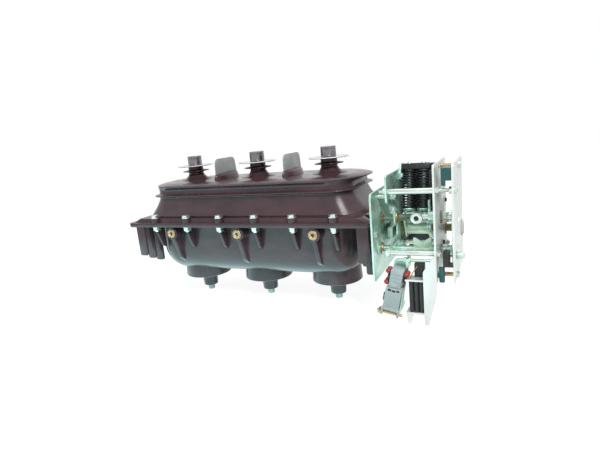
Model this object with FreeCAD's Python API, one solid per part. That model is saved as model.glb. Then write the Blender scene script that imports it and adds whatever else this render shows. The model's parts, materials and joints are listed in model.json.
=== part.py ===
"""Three-phase switch disconnector: cast epoxy tank in two halves with a spring mechanism at one end.

X runs along the phases towards the mechanism, -Y is the front, Z is up.
The origin is the middle of the flange joint plane, under the middle phase. Sizes are in millimetres.
"""
import FreeCAD
import Part
import math
import os

V = FreeCAD.Vector
X_AXIS = V(1, 0, 0)
Y_AXIS = V(0, 1, 0)
Z_AXIS = V(0, 0, 1)

# Phases
phase_pitch = 210.0
phase_x = [-phase_pitch, 0.0, phase_pitch]

# Upper housing
wall_t = 9.0
end_room = 80.0
upper_half_length = phase_pitch + end_room
upper_half_width = 112.0
upper_corner_r = 54.0
end_flare = 38.0
side_flare = 15.0
flare_height = 55.0
flare_power = 1.4
flare_steps = 5
roof_z = 104.0
lower_rim_z = 71.0
lower_rim_half_length = upper_half_length + 14.0
lower_rim_half_width = upper_half_width + 10.0
upper_rim_z = 96.5
upper_rim_half_length = upper_half_length + 28.0
upper_rim_half_width = upper_half_width + 12.0
rim_edge_t = 2.4
rim_root_t = 9.0

# Lower housing
trough_half_length = upper_half_length + 16.0
trough_half_width = upper_half_width + 6.0
trough_r = 78.0
trough_bottom_z = -152.0
cup_r = 68.0
cup_rim_z = trough_bottom_z - 30.0
cup_wall_t = 8.0
cup_recess_depth = 26.0
lower_stem_r = 20.0
lower_stem_end_z = cup_rim_z - 40.0
stud_r = 9.5
stud_end_z = lower_stem_end_z - 16.0

# Flange between the two tank halves
flange_half_length = upper_half_length + end_flare + 27.0
flange_half_width = trough_half_width + 37.0
flange_corner_r = 14.0
flange_lip_t = 3.4
flange_deck_t = 13.0
flange_boss_t = 15.5
flange_boss_r = 11.5
lower_flange_t = 8.5
flange_draft = 0.6
deck_half_length = upper_half_length + end_flare
deck_half_width = flange_half_width - 15.0
seal_width = 6.0
seal_depth = 3.0
seal_play = 0.15
hole_land = 1.0

# Flange bolts
bolt_r = 6.0
bolt_hole_r = 6.6
bolt_pitch = phase_pitch / 2
bolts_per_side = 6
bolt_y = flange_half_width - 13.0
hex_af = 19.0
head_t = 8.0
nut_t = 10.0
bolt_end_z = -lower_flange_t - nut_t - 4.0

# Corner fixing holes in the flange
corner_hole_x = flange_half_length - 15.0
corner_hole_y = flange_half_width - 50.0
corner_hole_r = 6.5
corner_seat_r = 12.0

# Seal between the tank halves, inside every hole of the flange
seal_half_length = corner_hole_x - corner_hole_r - hole_land
seal_half_width = bolt_y - bolt_hole_r - hole_land

# Upper bushings
bushing_base_r = 46.0
bushing_neck_r = 21.5
bushing_shed_r = 38.0
bushing_shed_z = 129.0
bushing_top_z = 143.0
disc_r = 52.5
disc_t = 3.0
terminal_r = 20.0
terminal_top_z = 172.0
terminal_stem_r = 14.0
terminal_thread_r = 5.1
terminal_thread_depth = 20.0

# Barriers between the phases
barrier_half_width = 54.0
barrier_top_z = 161.0
barrier_t = 5.0
barrier_seat_depth = 5.0
saddle_half_length = 60.0
saddle_half_width = 19.0
saddle_height = 17.0
saddle_top_share = 0.3

# Side inserts, their bosses and the ribs
insert_r = 12.0
insert_z = -27.0
insert_boss_r = 17.5
insert_boss_y = trough_half_width + 29.0
insert_face_y = insert_boss_y + 2.0
insert_thread_r = 4.25
insert_thread_depth = 22.0
inner_wall_y = trough_half_width - wall_t
rib_t = 12.0
gusset_t = 7.0
end_plate_t = 7.0
end_plate_width = 28.0
end_plate_pitch = 30.0
end_plate_first_y = flange_half_width - 5.0
left_end_plate_x = trough_half_length + 21.0
right_end_plate_x = trough_half_length + 41.0
left_plate_bottoms = [-91.0, -107.0, -121.0]
right_plate_bottoms = [-91.0, -107.0, -137.0]

# Main shaft and contacts
shaft_y = 0.0
shaft_z = -40.0
shaft_r = 18.0
stub_r = 12.5
pilot_r = 9.0
hub_r = 31.0
hub_half_width = 15.0
blade_t = 4.0
blade_width = 24.0
blade_reach = 85.0
finger_t = 13.0
contact_gap = 0.5
open_angle = 50.0
running_gap = 0.08
exit_boss_r = 39.0
plate_screw_circle_r = 29.0
seal_ring_r = 20.0

# Relief port on the back and filling valve on the far end
port_x = 105.0
port_z = -78.0
port_r = 30.0
port_ring_r = 42.0
port_ring_t = 6.0
valve_y = 55.0
valve_z = -70.0
valve_r = 8.0

# Mechanism plates, stations along the shaft
plate_t = 4.0
mounting_x = flange_half_length + 1.0
exit_boss_x = mounting_x - 1.0
bearing_x = mounting_x + 34.0
inner_x = bearing_x + 100.0
front_x = inner_x + 36.0
mounting_half_width = flange_half_width + 10.0
mounting_top_z = 70.0
mounting_bottom_z = -130.0
mounting_slot_z = [-74.0, -42.0]
mounting_slot_y = [-135.0, -120.0]
side_screw_y = 141.0
side_screw_z = -25.0
side_screw_places = [(-side_screw_y, side_screw_z), (side_screw_y, side_screw_z)]
bearing_top_z = 107.0
bearing_back_y = 115.0
bearing_bottom_z = -94.0
lobe_front_y = -160.0
lobe_bottom_z = 48.0
window_y = [30.0, 85.0]
window_z = [-20.0, 60.0]
mechanism_y0 = -170.0
inner_y1 = 18.0
front_y0 = -162.0
front_y1 = 30.0
plate_top_z = 126.0
plate_bottom_z = -125.0

# Screen behind the springs
screen_y = 58.0
screen_t = 3.0
screen_foot = 14.0
screen_top_z = 96.0
screen_bottom_z = -104.0

# Tie rods
rod_r = 6.0
rod_thread_r = 4.0
rod_y = -150.0
upper_rod_z = 72.0
lower_rod_z = -63.0
rod_end_over = 18.0
rod_arm_half = 9.0
back_rod = (9.0, -79.5)
short_rod_r = 5.0
short_rods = [(95.0, 58.0), (95.0, -74.0), (-105.0, 54.0), (-62.0, -83.0)]
spacer_places = [(-128.0, -114.0), (-60.0, 113.0), (6.0, -112.0)]

# Spring yoke and springs
yoke_pin_arm = 45.0
yoke_half_travel = 40.0
sleeve_r = 16.5
sleeve_x0 = bearing_x + 15.0
sleeve_x1 = sleeve_x0 + 52.0
yoke_plate_t = 4.0
crank_pin_r = 6.0
pivot_z = 108.0
pivot_r = 5.0
trunnion_depth = 28.0
trunnion_height = 14.0
spring_x = [sleeve_x0 + 9.0, sleeve_x0 + 42.5]
spring_mean_r = 13.6
spring_wire_r = 2.3
spring_turns = 13
spring_stations = 9
spring_sides = 4
guide_rod_r = 5.0
guide_rod_over = 12.0
seat_r = 15.6
seat_t = 3.0
crosshead_half = 12.0
drive_arm = 24.0
drive_rest_angle = -79.0
drive_pin_r = 4.0
link_t = 4.0
lever_tail = 40.0

# Operating shafts
switch_y = -72.0
switch_z = 0.0
earth_y = -84.0
earth_z = -72.0
op_shaft_r = 8.0
op_shaft_end_x = front_x - 7.0
socket_af = 10.0
socket_depth = 16.0
op_hole_r = 14.0
hub_ring_x = sleeve_x0 + 36.0
hub_ring_r = 13.0

# Interlock slide
slide_travel = 72.0
slide_t = 3.0
slide_half_width = 20.0
slide_knob_y = -125.0
slide_half_height = 20.0
slide_gap = 0.4
knob_r = 8.0
knob_stem_r = 3.6
guide_strip_z0 = -100.0
guide_strip_z1 = 30.0

# Auxiliary switch, hung at a slope from its bracket
aux_hinge_x = mounting_x + 43.0
aux_hinge_z = -95.0
aux_tilt = 12.0
aux_mid_x = aux_hinge_x + 13.0
aux_face_y = -128.0
aux_sheet_t = 3.0
aux_sheet_half_width = 17.0
aux_sheet_z0 = -192.0
aux_sheet_z1 = -84.0
aux_upper_width = 27.0
aux_upper_depth = 44.0
aux_upper_z0 = -136.0
aux_upper_z1 = -95.0
aux_rib_z = [-120.0, -112.0, -104.0]
aux_rib_t = 2.0
aux_lower_width = 36.0
aux_lower_depth = 48.0
aux_lower_z0 = -186.0
aux_foot_over = 2.0
aux_foot_t = 6.0
aux_screw_r = 5.5
aux_screw_length = 12.0
aux_screw_y = [-164.0, -148.0]
aux_screw_z = [-128.0, -102.0]
aux_stud_y = -150.0
aux_stud_z = -79.0
aux_stud_x0 = aux_hinge_x + 9.0
aux_stud_r = 3.5
aux_tab_x = aux_hinge_x + 28.0
aux_tab_t = 6.0
aux_cheek_t = 2.0
aux_rod_r = 3.0
aux_rod_y = -174.0
aux_rod_z = -194.0
aux_rod_half_length = 28.0

# Trip coil in its frame
coil_x1 = inner_x - 24.0
coil_width = 32.6
coil_z0 = -192.0
coil_z1 = -121.0
coil_rear_y = -140.0
coil_sheet_t = 4.0
coil_gap = 0.4
coil_rib_pitch = 9.0
coil_ribs = 7
coil_rib_t = 2.5
coil_tip_z = -218.0
coil_lug = 22.0
coil_box_x0 = coil_x1 - 22.0
coil_box_y0 = -150.0
coil_box_width = 21.0
coil_box_depth = 20.0
coil_box_height = 31.0

# Interlock switches and buffer between the two front plates
micro_x0 = inner_x + 15.0
upper_micro_y = -137.0
upper_micro_z = 105.0
lower_micro_y = -153.0
lower_micro_z = -70.0
buffer_x = inner_x + 13.0
buffer_y = -158.0
buffer_z0 = -122.0
buffer_r = 6.0
buffer_length = 32.0


def cylinder(radius, length, start, axis):
    return Part.makeCylinder(radius, length, start, axis)


def ring(outer_r, inner_r, length, start, axis):
    return cylinder(outer_r, length, start, axis).cut(cylinder(inner_r, length, start, axis))


def block(x0, x1, y0, y1, z0, z1):
    return Part.makeBox(x1 - x0, y1 - y0, z1 - z0, V(x0, y0, z0))


def fuse_all(shapes):
    return shapes[0].multiFuse(shapes[1:]).removeSplitter() if len(shapes) > 1 else shapes[0]


def group(shapes):
    return Part.makeCompound(shapes)


def rounded_rectangle(half_x, half_y, radius, z):
    """Closed wire of four sides and four corner arcs at height z."""
    cx = half_x - radius
    cy = half_y - radius
    c = radius * math.sqrt(0.5)
    corners = [(cx, cy, 1, 1), (-cx, cy, -1, 1), (-cx, -cy, -1, -1), (cx, -cy, 1, -1)]
    edges = []
    ends = []
    for x, y, sx, sy in corners:
        a = V(x + sx * radius, y, z)
        b = V(x, y + sy * radius, z)
        mid = V(x + sx * c, y + sy * c, z)
        first, last = (a, b) if sx * sy > 0 else (b, a)
        edges.append(Part.Arc(first, mid, last).toShape())
        ends.append((first, last))
    sides = [Part.makeLine(ends[i][1], ends[(i + 1) % 4][0]) for i in range(4)]
    ordered = [edge for pair in zip(edges, sides) for edge in pair]
    return Part.Wire(ordered)


def slab(half_x, half_y, radius, z0, z1):
    face = Part.Face(rounded_rectangle(half_x, half_y, radius, z0))
    return face.extrude(V(0, 0, z1 - z0))


def rounded_outline(points):
    """Closed wire through (u, v, corner radius) points, each corner an arc."""
    count = len(points)
    starts = []
    ends = []
    mids = []
    for i, (u, v, radius) in enumerate(points):
        here = V(u, v, 0)
        before = V(points[i - 1][0], points[i - 1][1], 0).sub(here).normalize()
        after = V(points[(i + 1) % count][0], points[(i + 1) % count][1], 0).sub(here).normalize()
        half = before.getAngle(after) / 2
        reach = radius / math.tan(half)
        starts.append(here.add(before * reach))
        ends.append(here.add(after * reach))
        bisector = before.add(after).normalize()
        mids.append(here.add(bisector * (radius / math.sin(half) - radius)))
    edges = []
    for i in range(count):
        if points[i][2] > 0:
            edges.append(Part.Arc(starts[i], mids[i], ends[i]).toShape())
        edges.append(Part.makeLine(ends[i], starts[(i + 1) % count]))
    return Part.Wire(edges)


def plate_yz(points, x0, thickness):
    """Plate of (y, z, corner radius) outline, from x0 towards +X."""
    solid = Part.Face(rounded_outline(points)).extrude(V(0, 0, thickness))
    turn = FreeCAD.Matrix(0, 0, 1, x0, 1, 0, 0, 0, 0, 1, 0, 0, 0, 0, 0, 1)
    return solid.transformed(turn)


def plate_xz(points, y0, thickness):
    """Plate of (x, z, corner radius) outline, from y0 towards +Y."""
    solid = Part.Face(rounded_outline(points)).extrude(V(0, 0, -thickness))
    return solid.rotate(V(0, 0, 0), X_AXIS, 90).translate(V(0, y0, 0))


def revolve_z(points, x, y):
    """Solid of revolution of (radius, z) points about the vertical line through x, y."""
    vectors = [V(radius, 0, z) for radius, z in points]
    face = Part.Face(Part.makePolygon(vectors + [vectors[0]]))
    return face.revolve(V(0, 0, 0), Z_AXIS, 360).translate(V(x, y, 0))


def hex_prism(across_flats, length, start, axis):
    radius = across_flats / math.sqrt(3)
    points = [V(radius * math.cos(math.radians(60 * i)), radius * math.sin(math.radians(60 * i)), 0)
              for i in range(6)]
    solid = Part.Face(Part.makePolygon(points + [points[0]])).extrude(V(0, 0, length))
    solid.Placement = FreeCAD.Placement(start, FreeCAD.Rotation(Z_AXIS, axis))
    return solid


def at_angle(centre_y, centre_z, radius, angle):
    """Point in the YZ plane; the angle is measured from straight up towards the front."""
    a = math.radians(angle)
    return centre_y - radius * math.sin(a), centre_z + radius * math.cos(a)


def bolt_places():
    first = -bolt_pitch * (bolts_per_side - 1) / 2
    xs = [first + i * bolt_pitch for i in range(bolts_per_side)]
    return [(x, side * bolt_y) for side in (-1, 1) for x in xs]


def corner_cylinders(radius, z0, z1):
    return [cylinder(radius, z1 - z0, V(sx * corner_hole_x, sy * corner_hole_y, z0), Z_AXIS)
            for sx in (-1, 1) for sy in (-1, 1)]


def flange_hole_cutters(z0, z1):
    bolts = [cylinder(bolt_hole_r, z1 - z0, V(x, y, z0), Z_AXIS) for x, y in bolt_places()]
    return bolts + corner_cylinders(corner_hole_r, z0, z1)


def drafted_slab(half_x, half_y, radius, z_wide, z_narrow, draft):
    """Slab whose edge leans in by the draft from z_wide to z_narrow."""
    wide = rounded_rectangle(half_x, half_y, radius, z_wide)
    narrow = rounded_rectangle(half_x - draft, half_y - draft, radius - draft, z_narrow)
    return Part.makeLoft([wide, narrow], True, True)


def flared_wall():
    """Upper wall, spreading in a hollow curve on to the flange."""
    wires = []
    for step in range(flare_steps + 1):
        share = step / flare_steps
        z = flange_deck_t + flare_height * share
        spread = (1 - share) ** flare_power
        half_x = upper_half_length + end_flare * spread
        half_y = upper_half_width + side_flare * spread
        wires.append(rounded_rectangle(half_x, half_y, upper_corner_r + side_flare * spread, z))
    foot = Part.makeLoft(wires, True, True)
    neck = slab(upper_half_length, upper_half_width, upper_corner_r, flange_deck_t + flare_height, roof_z)
    return foot.fuse(neck)


def rim(half_x, half_y, radius, root_x, root_y, root_radius, z):
    """Thin rain rim: a tapered collar with a narrow edge."""
    half_edge = rim_edge_t / 2
    low = Part.makeLoft([rounded_rectangle(root_x, root_y, root_radius, z - rim_root_t),
                         rounded_rectangle(half_x, half_y, radius, z - half_edge)], True, True)
    edge = slab(half_x, half_y, radius, z - half_edge, z + half_edge)
    high = Part.makeLoft([rounded_rectangle(half_x, half_y, radius, z + half_edge),
                          rounded_rectangle(root_x, root_y, root_radius, z + rim_root_t)], True, True)
    return low.fuse(edge).fuse(high)


def roof():
    """Crowned lid: the upper rim with a roof that rises towards the bushings."""
    half_edge = rim_edge_t / 2
    edge_r = upper_rim_half_width - 6.0
    crown_inset = 28.0
    root_z = upper_rim_z - rim_root_t * 1.4
    low = Part.makeLoft([
        rounded_rectangle(upper_half_length, upper_half_width, upper_corner_r, root_z),
        rounded_rectangle(upper_rim_half_length, upper_rim_half_width, edge_r, upper_rim_z - half_edge)],
        True, True)
    edge = slab(upper_rim_half_length, upper_rim_half_width, edge_r, upper_rim_z - half_edge,
                upper_rim_z + half_edge)
    crown = Part.makeLoft([
        rounded_rectangle(upper_rim_half_length, upper_rim_half_width, edge_r, upper_rim_z + half_edge),
        rounded_rectangle(upper_rim_half_length - 30.0, upper_rim_half_width - crown_inset,
                          edge_r - crown_inset, roof_z)],
        True, True)
    return low.fuse(edge).fuse(crown)


def bushing(x):
    """Upper bushing: low concave cone, neck with one small shed."""
    shed = 1.6
    points = [(0, roof_z - 12), (bushing_base_r - 4, roof_z - 12), (bushing_base_r, roof_z - 3),
              (bushing_base_r, roof_z), (34, roof_z + 4), (26, roof_z + 9), (bushing_neck_r, roof_z + 16),
              (bushing_neck_r, bushing_shed_z - 3.5), (bushing_shed_r, bushing_shed_z - shed),
              (bushing_shed_r, bushing_shed_z + shed), (bushing_neck_r, bushing_shed_z + 4),
              (bushing_neck_r, bushing_top_z), (0, bushing_top_z)]
    return revolve_z(points, x, 0)


def lens(half_length, half_width, z):
    """Pointed oval of two arcs, long along Y."""
    front = V(0, -half_length, z)
    back = V(0, half_length, z)
    right = Part.Arc(front, V(half_width, 0, z), back).toShape()
    left = Part.Arc(back, V(-half_width, 0, z), front).toShape()
    return Part.Wire([right, left])


def saddle(x):
    """Mound with a pointed oval plan that a barrier stands in."""
    foot = lens(saddle_half_length, saddle_half_width, roof_z - 1)
    top = lens(saddle_half_length - saddle_height / 2, saddle_half_width * saddle_top_share,
               roof_z + saddle_height)
    return Part.makeLoft([foot, top], True, True).translate(V(x, 0, 0))


def upper_flange():
    """Thin lip with a narrower deck on it, a boss for each bolt and a flat seat round each corner hole."""
    lip = drafted_slab(flange_half_length, flange_half_width, flange_corner_r, 0, flange_lip_t,
                       flange_draft)
    toe = rounded_rectangle(flange_half_length - 9, deck_half_width + 1, flange_corner_r, flange_lip_t - 1)
    crest = rounded_rectangle(deck_half_length, deck_half_width, flange_corner_r, flange_deck_t)
    deck = Part.makeLoft([toe, crest], True, True)
    bosses = [cylinder(flange_boss_r, flange_boss_t, V(x, y, 0), Z_AXIS) for x, y in bolt_places()]
    seats = corner_cylinders(corner_seat_r, flange_lip_t, flange_lip_t + flange_boss_t)
    return fuse_all([lip, deck.cut(seats)] + bosses)


def upper_housing():
    solid = upper_flange()
    pieces = [flared_wall(), roof(),
              rim(lower_rim_half_length, lower_rim_half_width, upper_corner_r + 8,
                  upper_half_length - 1, upper_half_width - 1, upper_corner_r, lower_rim_z)]
    pieces += [bushing(x) for x in phase_x]
    barrier_x = [(phase_x[i] + phase_x[i + 1]) / 2 for i in range(len(phase_x) - 1)]
    pieces += [saddle(x) for x in barrier_x]
    solid = solid.multiFuse(pieces)
    cavity = slab(upper_half_length - wall_t, upper_half_width - wall_t, upper_corner_r - wall_t, 0,
                  roof_z - 12)
    cutters = [cavity] + flange_hole_cutters(0, flange_boss_t)
    cutters += [cylinder(terminal_stem_r, 80, V(x, 0, roof_z - 20), Z_AXIS) for x in phase_x]
    slot = barrier_t / 2 + 0.1
    for x in barrier_x:
        cutters.append(block(x - slot, x + slot, -barrier_half_width - 0.1, barrier_half_width + 0.1,
                             roof_z - barrier_seat_depth, roof_z + 40))
    return solid.cut(cutters)


def trough(grow, z_top):
    """Round-bottomed tub; grow is the offset from the outside of the wall."""
    half_x = trough_half_length - grow
    half_y = trough_half_width - grow
    bottom = trough_bottom_z + grow
    tub = block(-half_x, half_x, -half_y, half_y, bottom, z_top)
    upright = [e for e in tub.Edges if abs(e.Vertexes[0].Z - e.Vertexes[1].Z) > 1]
    tub = tub.makeFillet(trough_r - grow, upright)
    low = [e for e in tub.Edges if all(abs(v.Z - bottom) < 1e-3 for v in e.Vertexes)]
    return tub.makeFillet(trough_r - grow, low)


def mirrored(shape, normal):
    return shape.mirror(V(0, 0, 0), normal)


def side_ribs():
    """Gussets under the flange bolts and the long ribs under the inserts."""
    ribs = []
    wall_y = trough_half_width - 4
    nut_edge_y = -bolt_y + hex_af / math.sqrt(3) + 1.5
    root_z = 1 - lower_flange_t
    gusset = [(-wall_y, root_z, 0), (nut_edge_y, root_z, 0), (nut_edge_y, bolt_end_z - 3, 0),
              (-bolt_y - 3, bolt_end_z - 3, 0), (-trough_half_width - 9, bolt_end_z - 46, 4),
              (-wall_y, bolt_end_z - 52, 0)]
    long_rib = [(-wall_y + 20, root_z, 0), (-insert_boss_y + 6, root_z, 0),
                (-insert_boss_y + 6, insert_z - 19, 0), (-trough_half_width - 4, insert_z - 77, 5),
                (-trough_half_width + 18, insert_z - 93, 0), (-trough_half_width + 30, insert_z - 87, 0)]
    for x, y in bolt_places():
        if y < 0:
            ribs.append(plate_yz(gusset, x - gusset_t / 2, gusset_t))
    for x in phase_x:
        ribs.append(plate_yz(long_rib, x - rib_t / 2, rib_t))
        ribs.append(cylinder(insert_boss_r, insert_boss_y - trough_half_width + 12,
                             V(x, -insert_boss_y, insert_z), Y_AXIS))
    return ribs + [mirrored(shape, Y_AXIS) for shape in ribs]


def end_plate_set():
    """Three fins in a row under each corner of the flange, longer towards the middle."""
    plates = []
    top = 1 - lower_flange_t
    for side, outer_x, bottoms in ((-1, left_end_plate_x, left_plate_bottoms),
                                   (1, right_end_plate_x, right_plate_bottoms)):
        x0, x1 = sorted([side * outer_x, side * (outer_x - end_plate_width)])
        for i, bottom in enumerate(bottoms):
            y = end_plate_first_y - i * end_plate_pitch
            outline = [(x0, top, 0), (x1, top, 0), (x1, bottom, 3), (x0, bottom, 3)]
            plates.append(plate_xz(outline, y - end_plate_t / 2, end_plate_t))
    return plates + [mirrored(plate, Y_AXIS) for plate in plates]


def lower_cup(x):
    """Lower bushing: a cup round a tapered stem."""
    inner = cup_r - cup_wall_t
    roof_of_cup = cup_rim_z + cup_recess_depth
    points = [(0, trough_bottom_z + 30), (cup_r - 3, trough_bottom_z + 30), (cup_r, cup_rim_z + 2),
              (cup_r - 2, cup_rim_z), (inner, cup_rim_z), (inner - 2, roof_of_cup),
              (lower_stem_r + 4, roof_of_cup), (lower_stem_r, lower_stem_end_z), (0, lower_stem_end_z)]
    return revolve_z(points, x, 0)


def lower_housing():
    solid = drafted_slab(flange_half_length, flange_half_width, flange_corner_r, 0, -lower_flange_t,
                         flange_draft)
    pieces = [trough(0, -lower_flange_t / 2)]
    pieces += [lower_cup(x) for x in phase_x]
    pieces += side_ribs()
    pieces += end_plate_set()
    boss_x = trough_half_length - 30
    pieces.append(cylinder(exit_boss_r, exit_boss_x - boss_x, V(boss_x, shaft_y, shaft_z), X_AXIS))
    pieces.append(cylinder(port_ring_r + 5, 20, V(port_x, trough_half_width - 16, port_z), Y_AXIS))
    solid = solid.multiFuse(pieces)
    solid = solid.cut(trough(wall_t, 1))
    pocket_x = -trough_half_length + wall_t
    pocket = cylinder(32, 20, V(pocket_x - 2, shaft_y, shaft_z), X_AXIS)
    solid = solid.fuse(pocket)
    cutters = flange_hole_cutters(-lower_flange_t, 0)
    cutters.append(square_ring(seal_half_length, seal_half_width, seal_width))
    cutters.append(cylinder(seal_ring_r, 100, V(boss_x - 10, shaft_y, shaft_z), X_AXIS))
    cutters.append(cylinder(seal_ring_r, 16, V(pocket_x + 2, shaft_y, shaft_z), X_AXIS))
    cutters.append(cylinder(port_r, 60, V(port_x, trough_half_width - 30, port_z), Y_AXIS))
    cutters += port_screws(3.0, 12)
    cutters.append(cylinder(valve_r, 40, V(-trough_half_length - 20, valve_y, valve_z), X_AXIS))
    for x in phase_x:
        cutters.append(cylinder(8, 120, V(x, 0, lower_stem_end_z - 1), Z_AXIS))
        for side in (-1, 1):
            start = V(x, side * insert_boss_y, insert_z)
            cutters.append(cylinder(insert_r, insert_boss_y - inner_wall_y, start, V(0, -side, 0)))
    for y, z in plate_screw_places():
        cutters.append(cylinder(4, 22, V(exit_boss_x - 22, y, z), X_AXIS))
    return solid.cut(cutters)


def port_screws(radius, length):
    places = [math.radians(60 * i + 30) for i in range(6)]
    circle = (port_r + port_ring_r) / 2
    face_y = trough_half_width + 4
    starts = [V(port_x + circle * math.cos(a), face_y, port_z + circle * math.sin(a)) for a in places]
    return [cylinder(radius, length, start, V(0, -1, 0)) for start in starts]


def plate_screw_places():
    angles = [math.radians(45 + 90 * i) for i in range(4)]
    return [(shaft_y + plate_screw_circle_r * math.cos(a), shaft_z + plate_screw_circle_r * math.sin(a))
            for a in angles]


def square_ring(half_x, half_y, width):
    """Ring as deep as the seal groove, just under the joint plane."""
    outer = slab(half_x, half_y, flange_corner_r, -seal_depth, 0)
    return outer.cut(slab(half_x - width, half_y - width, flange_corner_r - width, -seal_depth, 0))


def flange_seal():
    """Square-section ring in the groove, flush with the joint plane."""
    width = seal_width - 2 * seal_play
    return square_ring(seal_half_length - seal_play, seal_half_width - seal_play, width)


def flange_bolts():
    """Hexagon bolts drawn up with their nuts."""
    solids = []
    for x, y in bolt_places():
        shank = cylinder(bolt_r, flange_boss_t - bolt_end_z, V(x, y, bolt_end_z), Z_AXIS)
        head = hex_prism(hex_af, head_t, V(x, y, flange_boss_t), Z_AXIS)
        nut_body = hex_prism(hex_af, nut_t, V(x, y, -lower_flange_t - nut_t), Z_AXIS)
        solids.append(fuse_all([shank, head, nut_body]))
    return group(solids)


def side_inserts():
    solids = []
    for side in (-1, 1):
        for x in phase_x:
            start = V(x, side * insert_face_y, insert_z)
            depth = insert_face_y - inner_wall_y
            body = cylinder(insert_r - 0.02, depth, start, V(0, -side, 0))
            hole = cylinder(insert_thread_r, insert_thread_depth, start, V(0, -side, 0))
            solids.append(body.cut(hole))
    return group(solids)


def phase_barrier(x):
    foot = roof_z - barrier_seat_depth
    outline = [(-barrier_half_width, foot, 0), (-barrier_half_width + 3, barrier_top_z, 14),
               (barrier_half_width - 6, barrier_top_z, 14), (barrier_half_width, foot, 0)]
    return plate_yz(outline, x - barrier_t / 2, barrier_t)


def upper_terminal(x):
    """Cap, stem through the bushing and the fixed finger that the blades embrace."""
    cap_z = bushing_top_z + disc_t
    stem_r = terminal_stem_r - 0.05
    cap = revolve_z([(0, cap_z), (terminal_r, cap_z), (terminal_r, terminal_top_z - 1.5),
                     (terminal_r - 1.5, terminal_top_z), (0, terminal_top_z)], x, 0)
    foot_z = shaft_z + blade_reach + 12
    stem = cylinder(stem_r, cap_z - foot_z, V(x, 0, foot_z), Z_AXIS)
    finger_z = shaft_z + blade_reach - 20
    finger = plate_yz([(-15, foot_z + 3, 0), (-15, finger_z, 4), (15, finger_z, 4), (15, foot_z + 3, 0)],
                      x - finger_t / 2, finger_t)
    thread = cylinder(terminal_thread_r, terminal_thread_depth, V(x, 0, terminal_top_z), V(0, 0, -1))
    return fuse_all([cap, stem, finger]).cut(thread)


def field_disc(x):
    """Thin spun disc with a rolled edge, held under the terminal cap."""
    hole_r = terminal_stem_r + 0.1
    z = bushing_top_z
    return revolve_z([(hole_r, z), (terminal_r + 6, z), (disc_r - 4, z + 0.8), (disc_r - 1, z),
                      (disc_r, z + disc_t / 2), (disc_r - 1, z + disc_t), (terminal_r + 6, z + disc_t),
                      (hole_r, z + disc_t)], x, 0)


def lower_terminal(x):
    """Stud below, stem through the bushing and a saddle under the hub of the blades."""
    saddle_in = hub_r + contact_gap
    saddle_out = saddle_in + 8
    stem_top = shaft_z - saddle_in - 4
    stem = cylinder(7.95, stem_top - lower_stem_end_z, V(x, 0, lower_stem_end_z), Z_AXIS)
    stud = revolve_z([(0, stud_end_z), (stud_r - 1.5, stud_end_z), (stud_r, stud_end_z + 1.5),
                      (stud_r, lower_stem_end_z), (0, lower_stem_end_z)], x, 0)
    shoe = ring(saddle_out, saddle_in, 2 * hub_half_width, V(x - hub_half_width, shaft_y, shaft_z), X_AXIS)
    lower_part = block(x - 40, x + 40, -22, 22, shaft_z - 50, shaft_z - 10)
    return fuse_all([stem, stud, shoe.common(lower_part)])


def earth_bar():
    """Bar along the front wall with one finger for each phase, bolted to the inserts' inner ends."""
    angle = 2 * open_angle
    mid_y, mid_z = at_angle(shaft_y, shaft_z, blade_reach - 10, angle)
    bar_y = -inner_wall_y + 0.3
    end_x = phase_x[-1] + hub_half_width
    pieces = [block(-end_x, end_x, bar_y, bar_y + 6, mid_z - 14, insert_z + 8)]
    for x in phase_x:
        finger = block(x - finger_t / 2, x + finger_t / 2, bar_y + 3, mid_y + 8, mid_z - 11, mid_z + 11)
        pieces.append(finger)
    return fuse_all(pieces)


def main_shaft():
    """Insulating bar through the tank, the steel stub on its end and the pilot pin in front of that."""
    left = -trough_half_length + wall_t + 4
    bar_end = trough_half_length - 12
    bar = cylinder(shaft_r, bar_end - left - 16, V(left + 16, shaft_y, shaft_z), X_AXIS)
    journal = cylinder(stub_r, 17, V(left, shaft_y, shaft_z), X_AXIS)
    stub_end = sleeve_x1 + yoke_plate_t + 0.3
    pilot_end = front_x + plate_t + 2
    stub = cylinder(stub_r, stub_end - bar_end, V(bar_end, shaft_y, shaft_z), X_AXIS)
    pilot = cylinder(pilot_r, pilot_end - stub_end, V(stub_end, shaft_y, shaft_z), X_AXIS)
    return group([bar.fuse(journal), stub, pilot])


def moving_contact(x):
    """Copper hub on the insulating bar with two parallel blades."""
    pieces = [cylinder(hub_r, 2 * hub_half_width, V(x - hub_half_width, shaft_y, shaft_z), X_AXIS)]
    half = blade_width / 2
    gap = finger_t / 2 + contact_gap
    for start in (x - gap - blade_t, x + gap):
        outline = [(-half, 10, 0), (-half, blade_reach, 5), (half, blade_reach, 5), (half, 10, 0)]
        pieces.append(plate_yz(outline, start, blade_t).translate(V(0, shaft_y, shaft_z)))
    solid = fuse_all(pieces).cut(cylinder(shaft_r + 0.02, 80, V(x - 40, shaft_y, shaft_z), X_AXIS))
    return solid.rotate(V(x, shaft_y, shaft_z), X_AXIS, open_angle)


def shaft_bearings():
    left = -trough_half_length + wall_t + 2
    bore = stub_r + running_gap
    far = ring(seal_ring_r - 0.02, bore, 15, V(left, shaft_y, shaft_z), X_AXIS)
    near = ring(seal_ring_r - 0.02, bore, 28, V(trough_half_length - 8, shaft_y, shaft_z), X_AXIS)
    return group([far, near])


def shaft_seal():
    return ring(seal_ring_r - 0.02, stub_r + 0.3, 12, V(trough_half_length + 22, shaft_y, shaft_z), X_AXIS)


def relief_disc():
    start_y = trough_half_width + 4
    return cylinder(port_ring_r - 2, 1.0, V(port_x, start_y, port_z), Y_AXIS)


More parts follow.
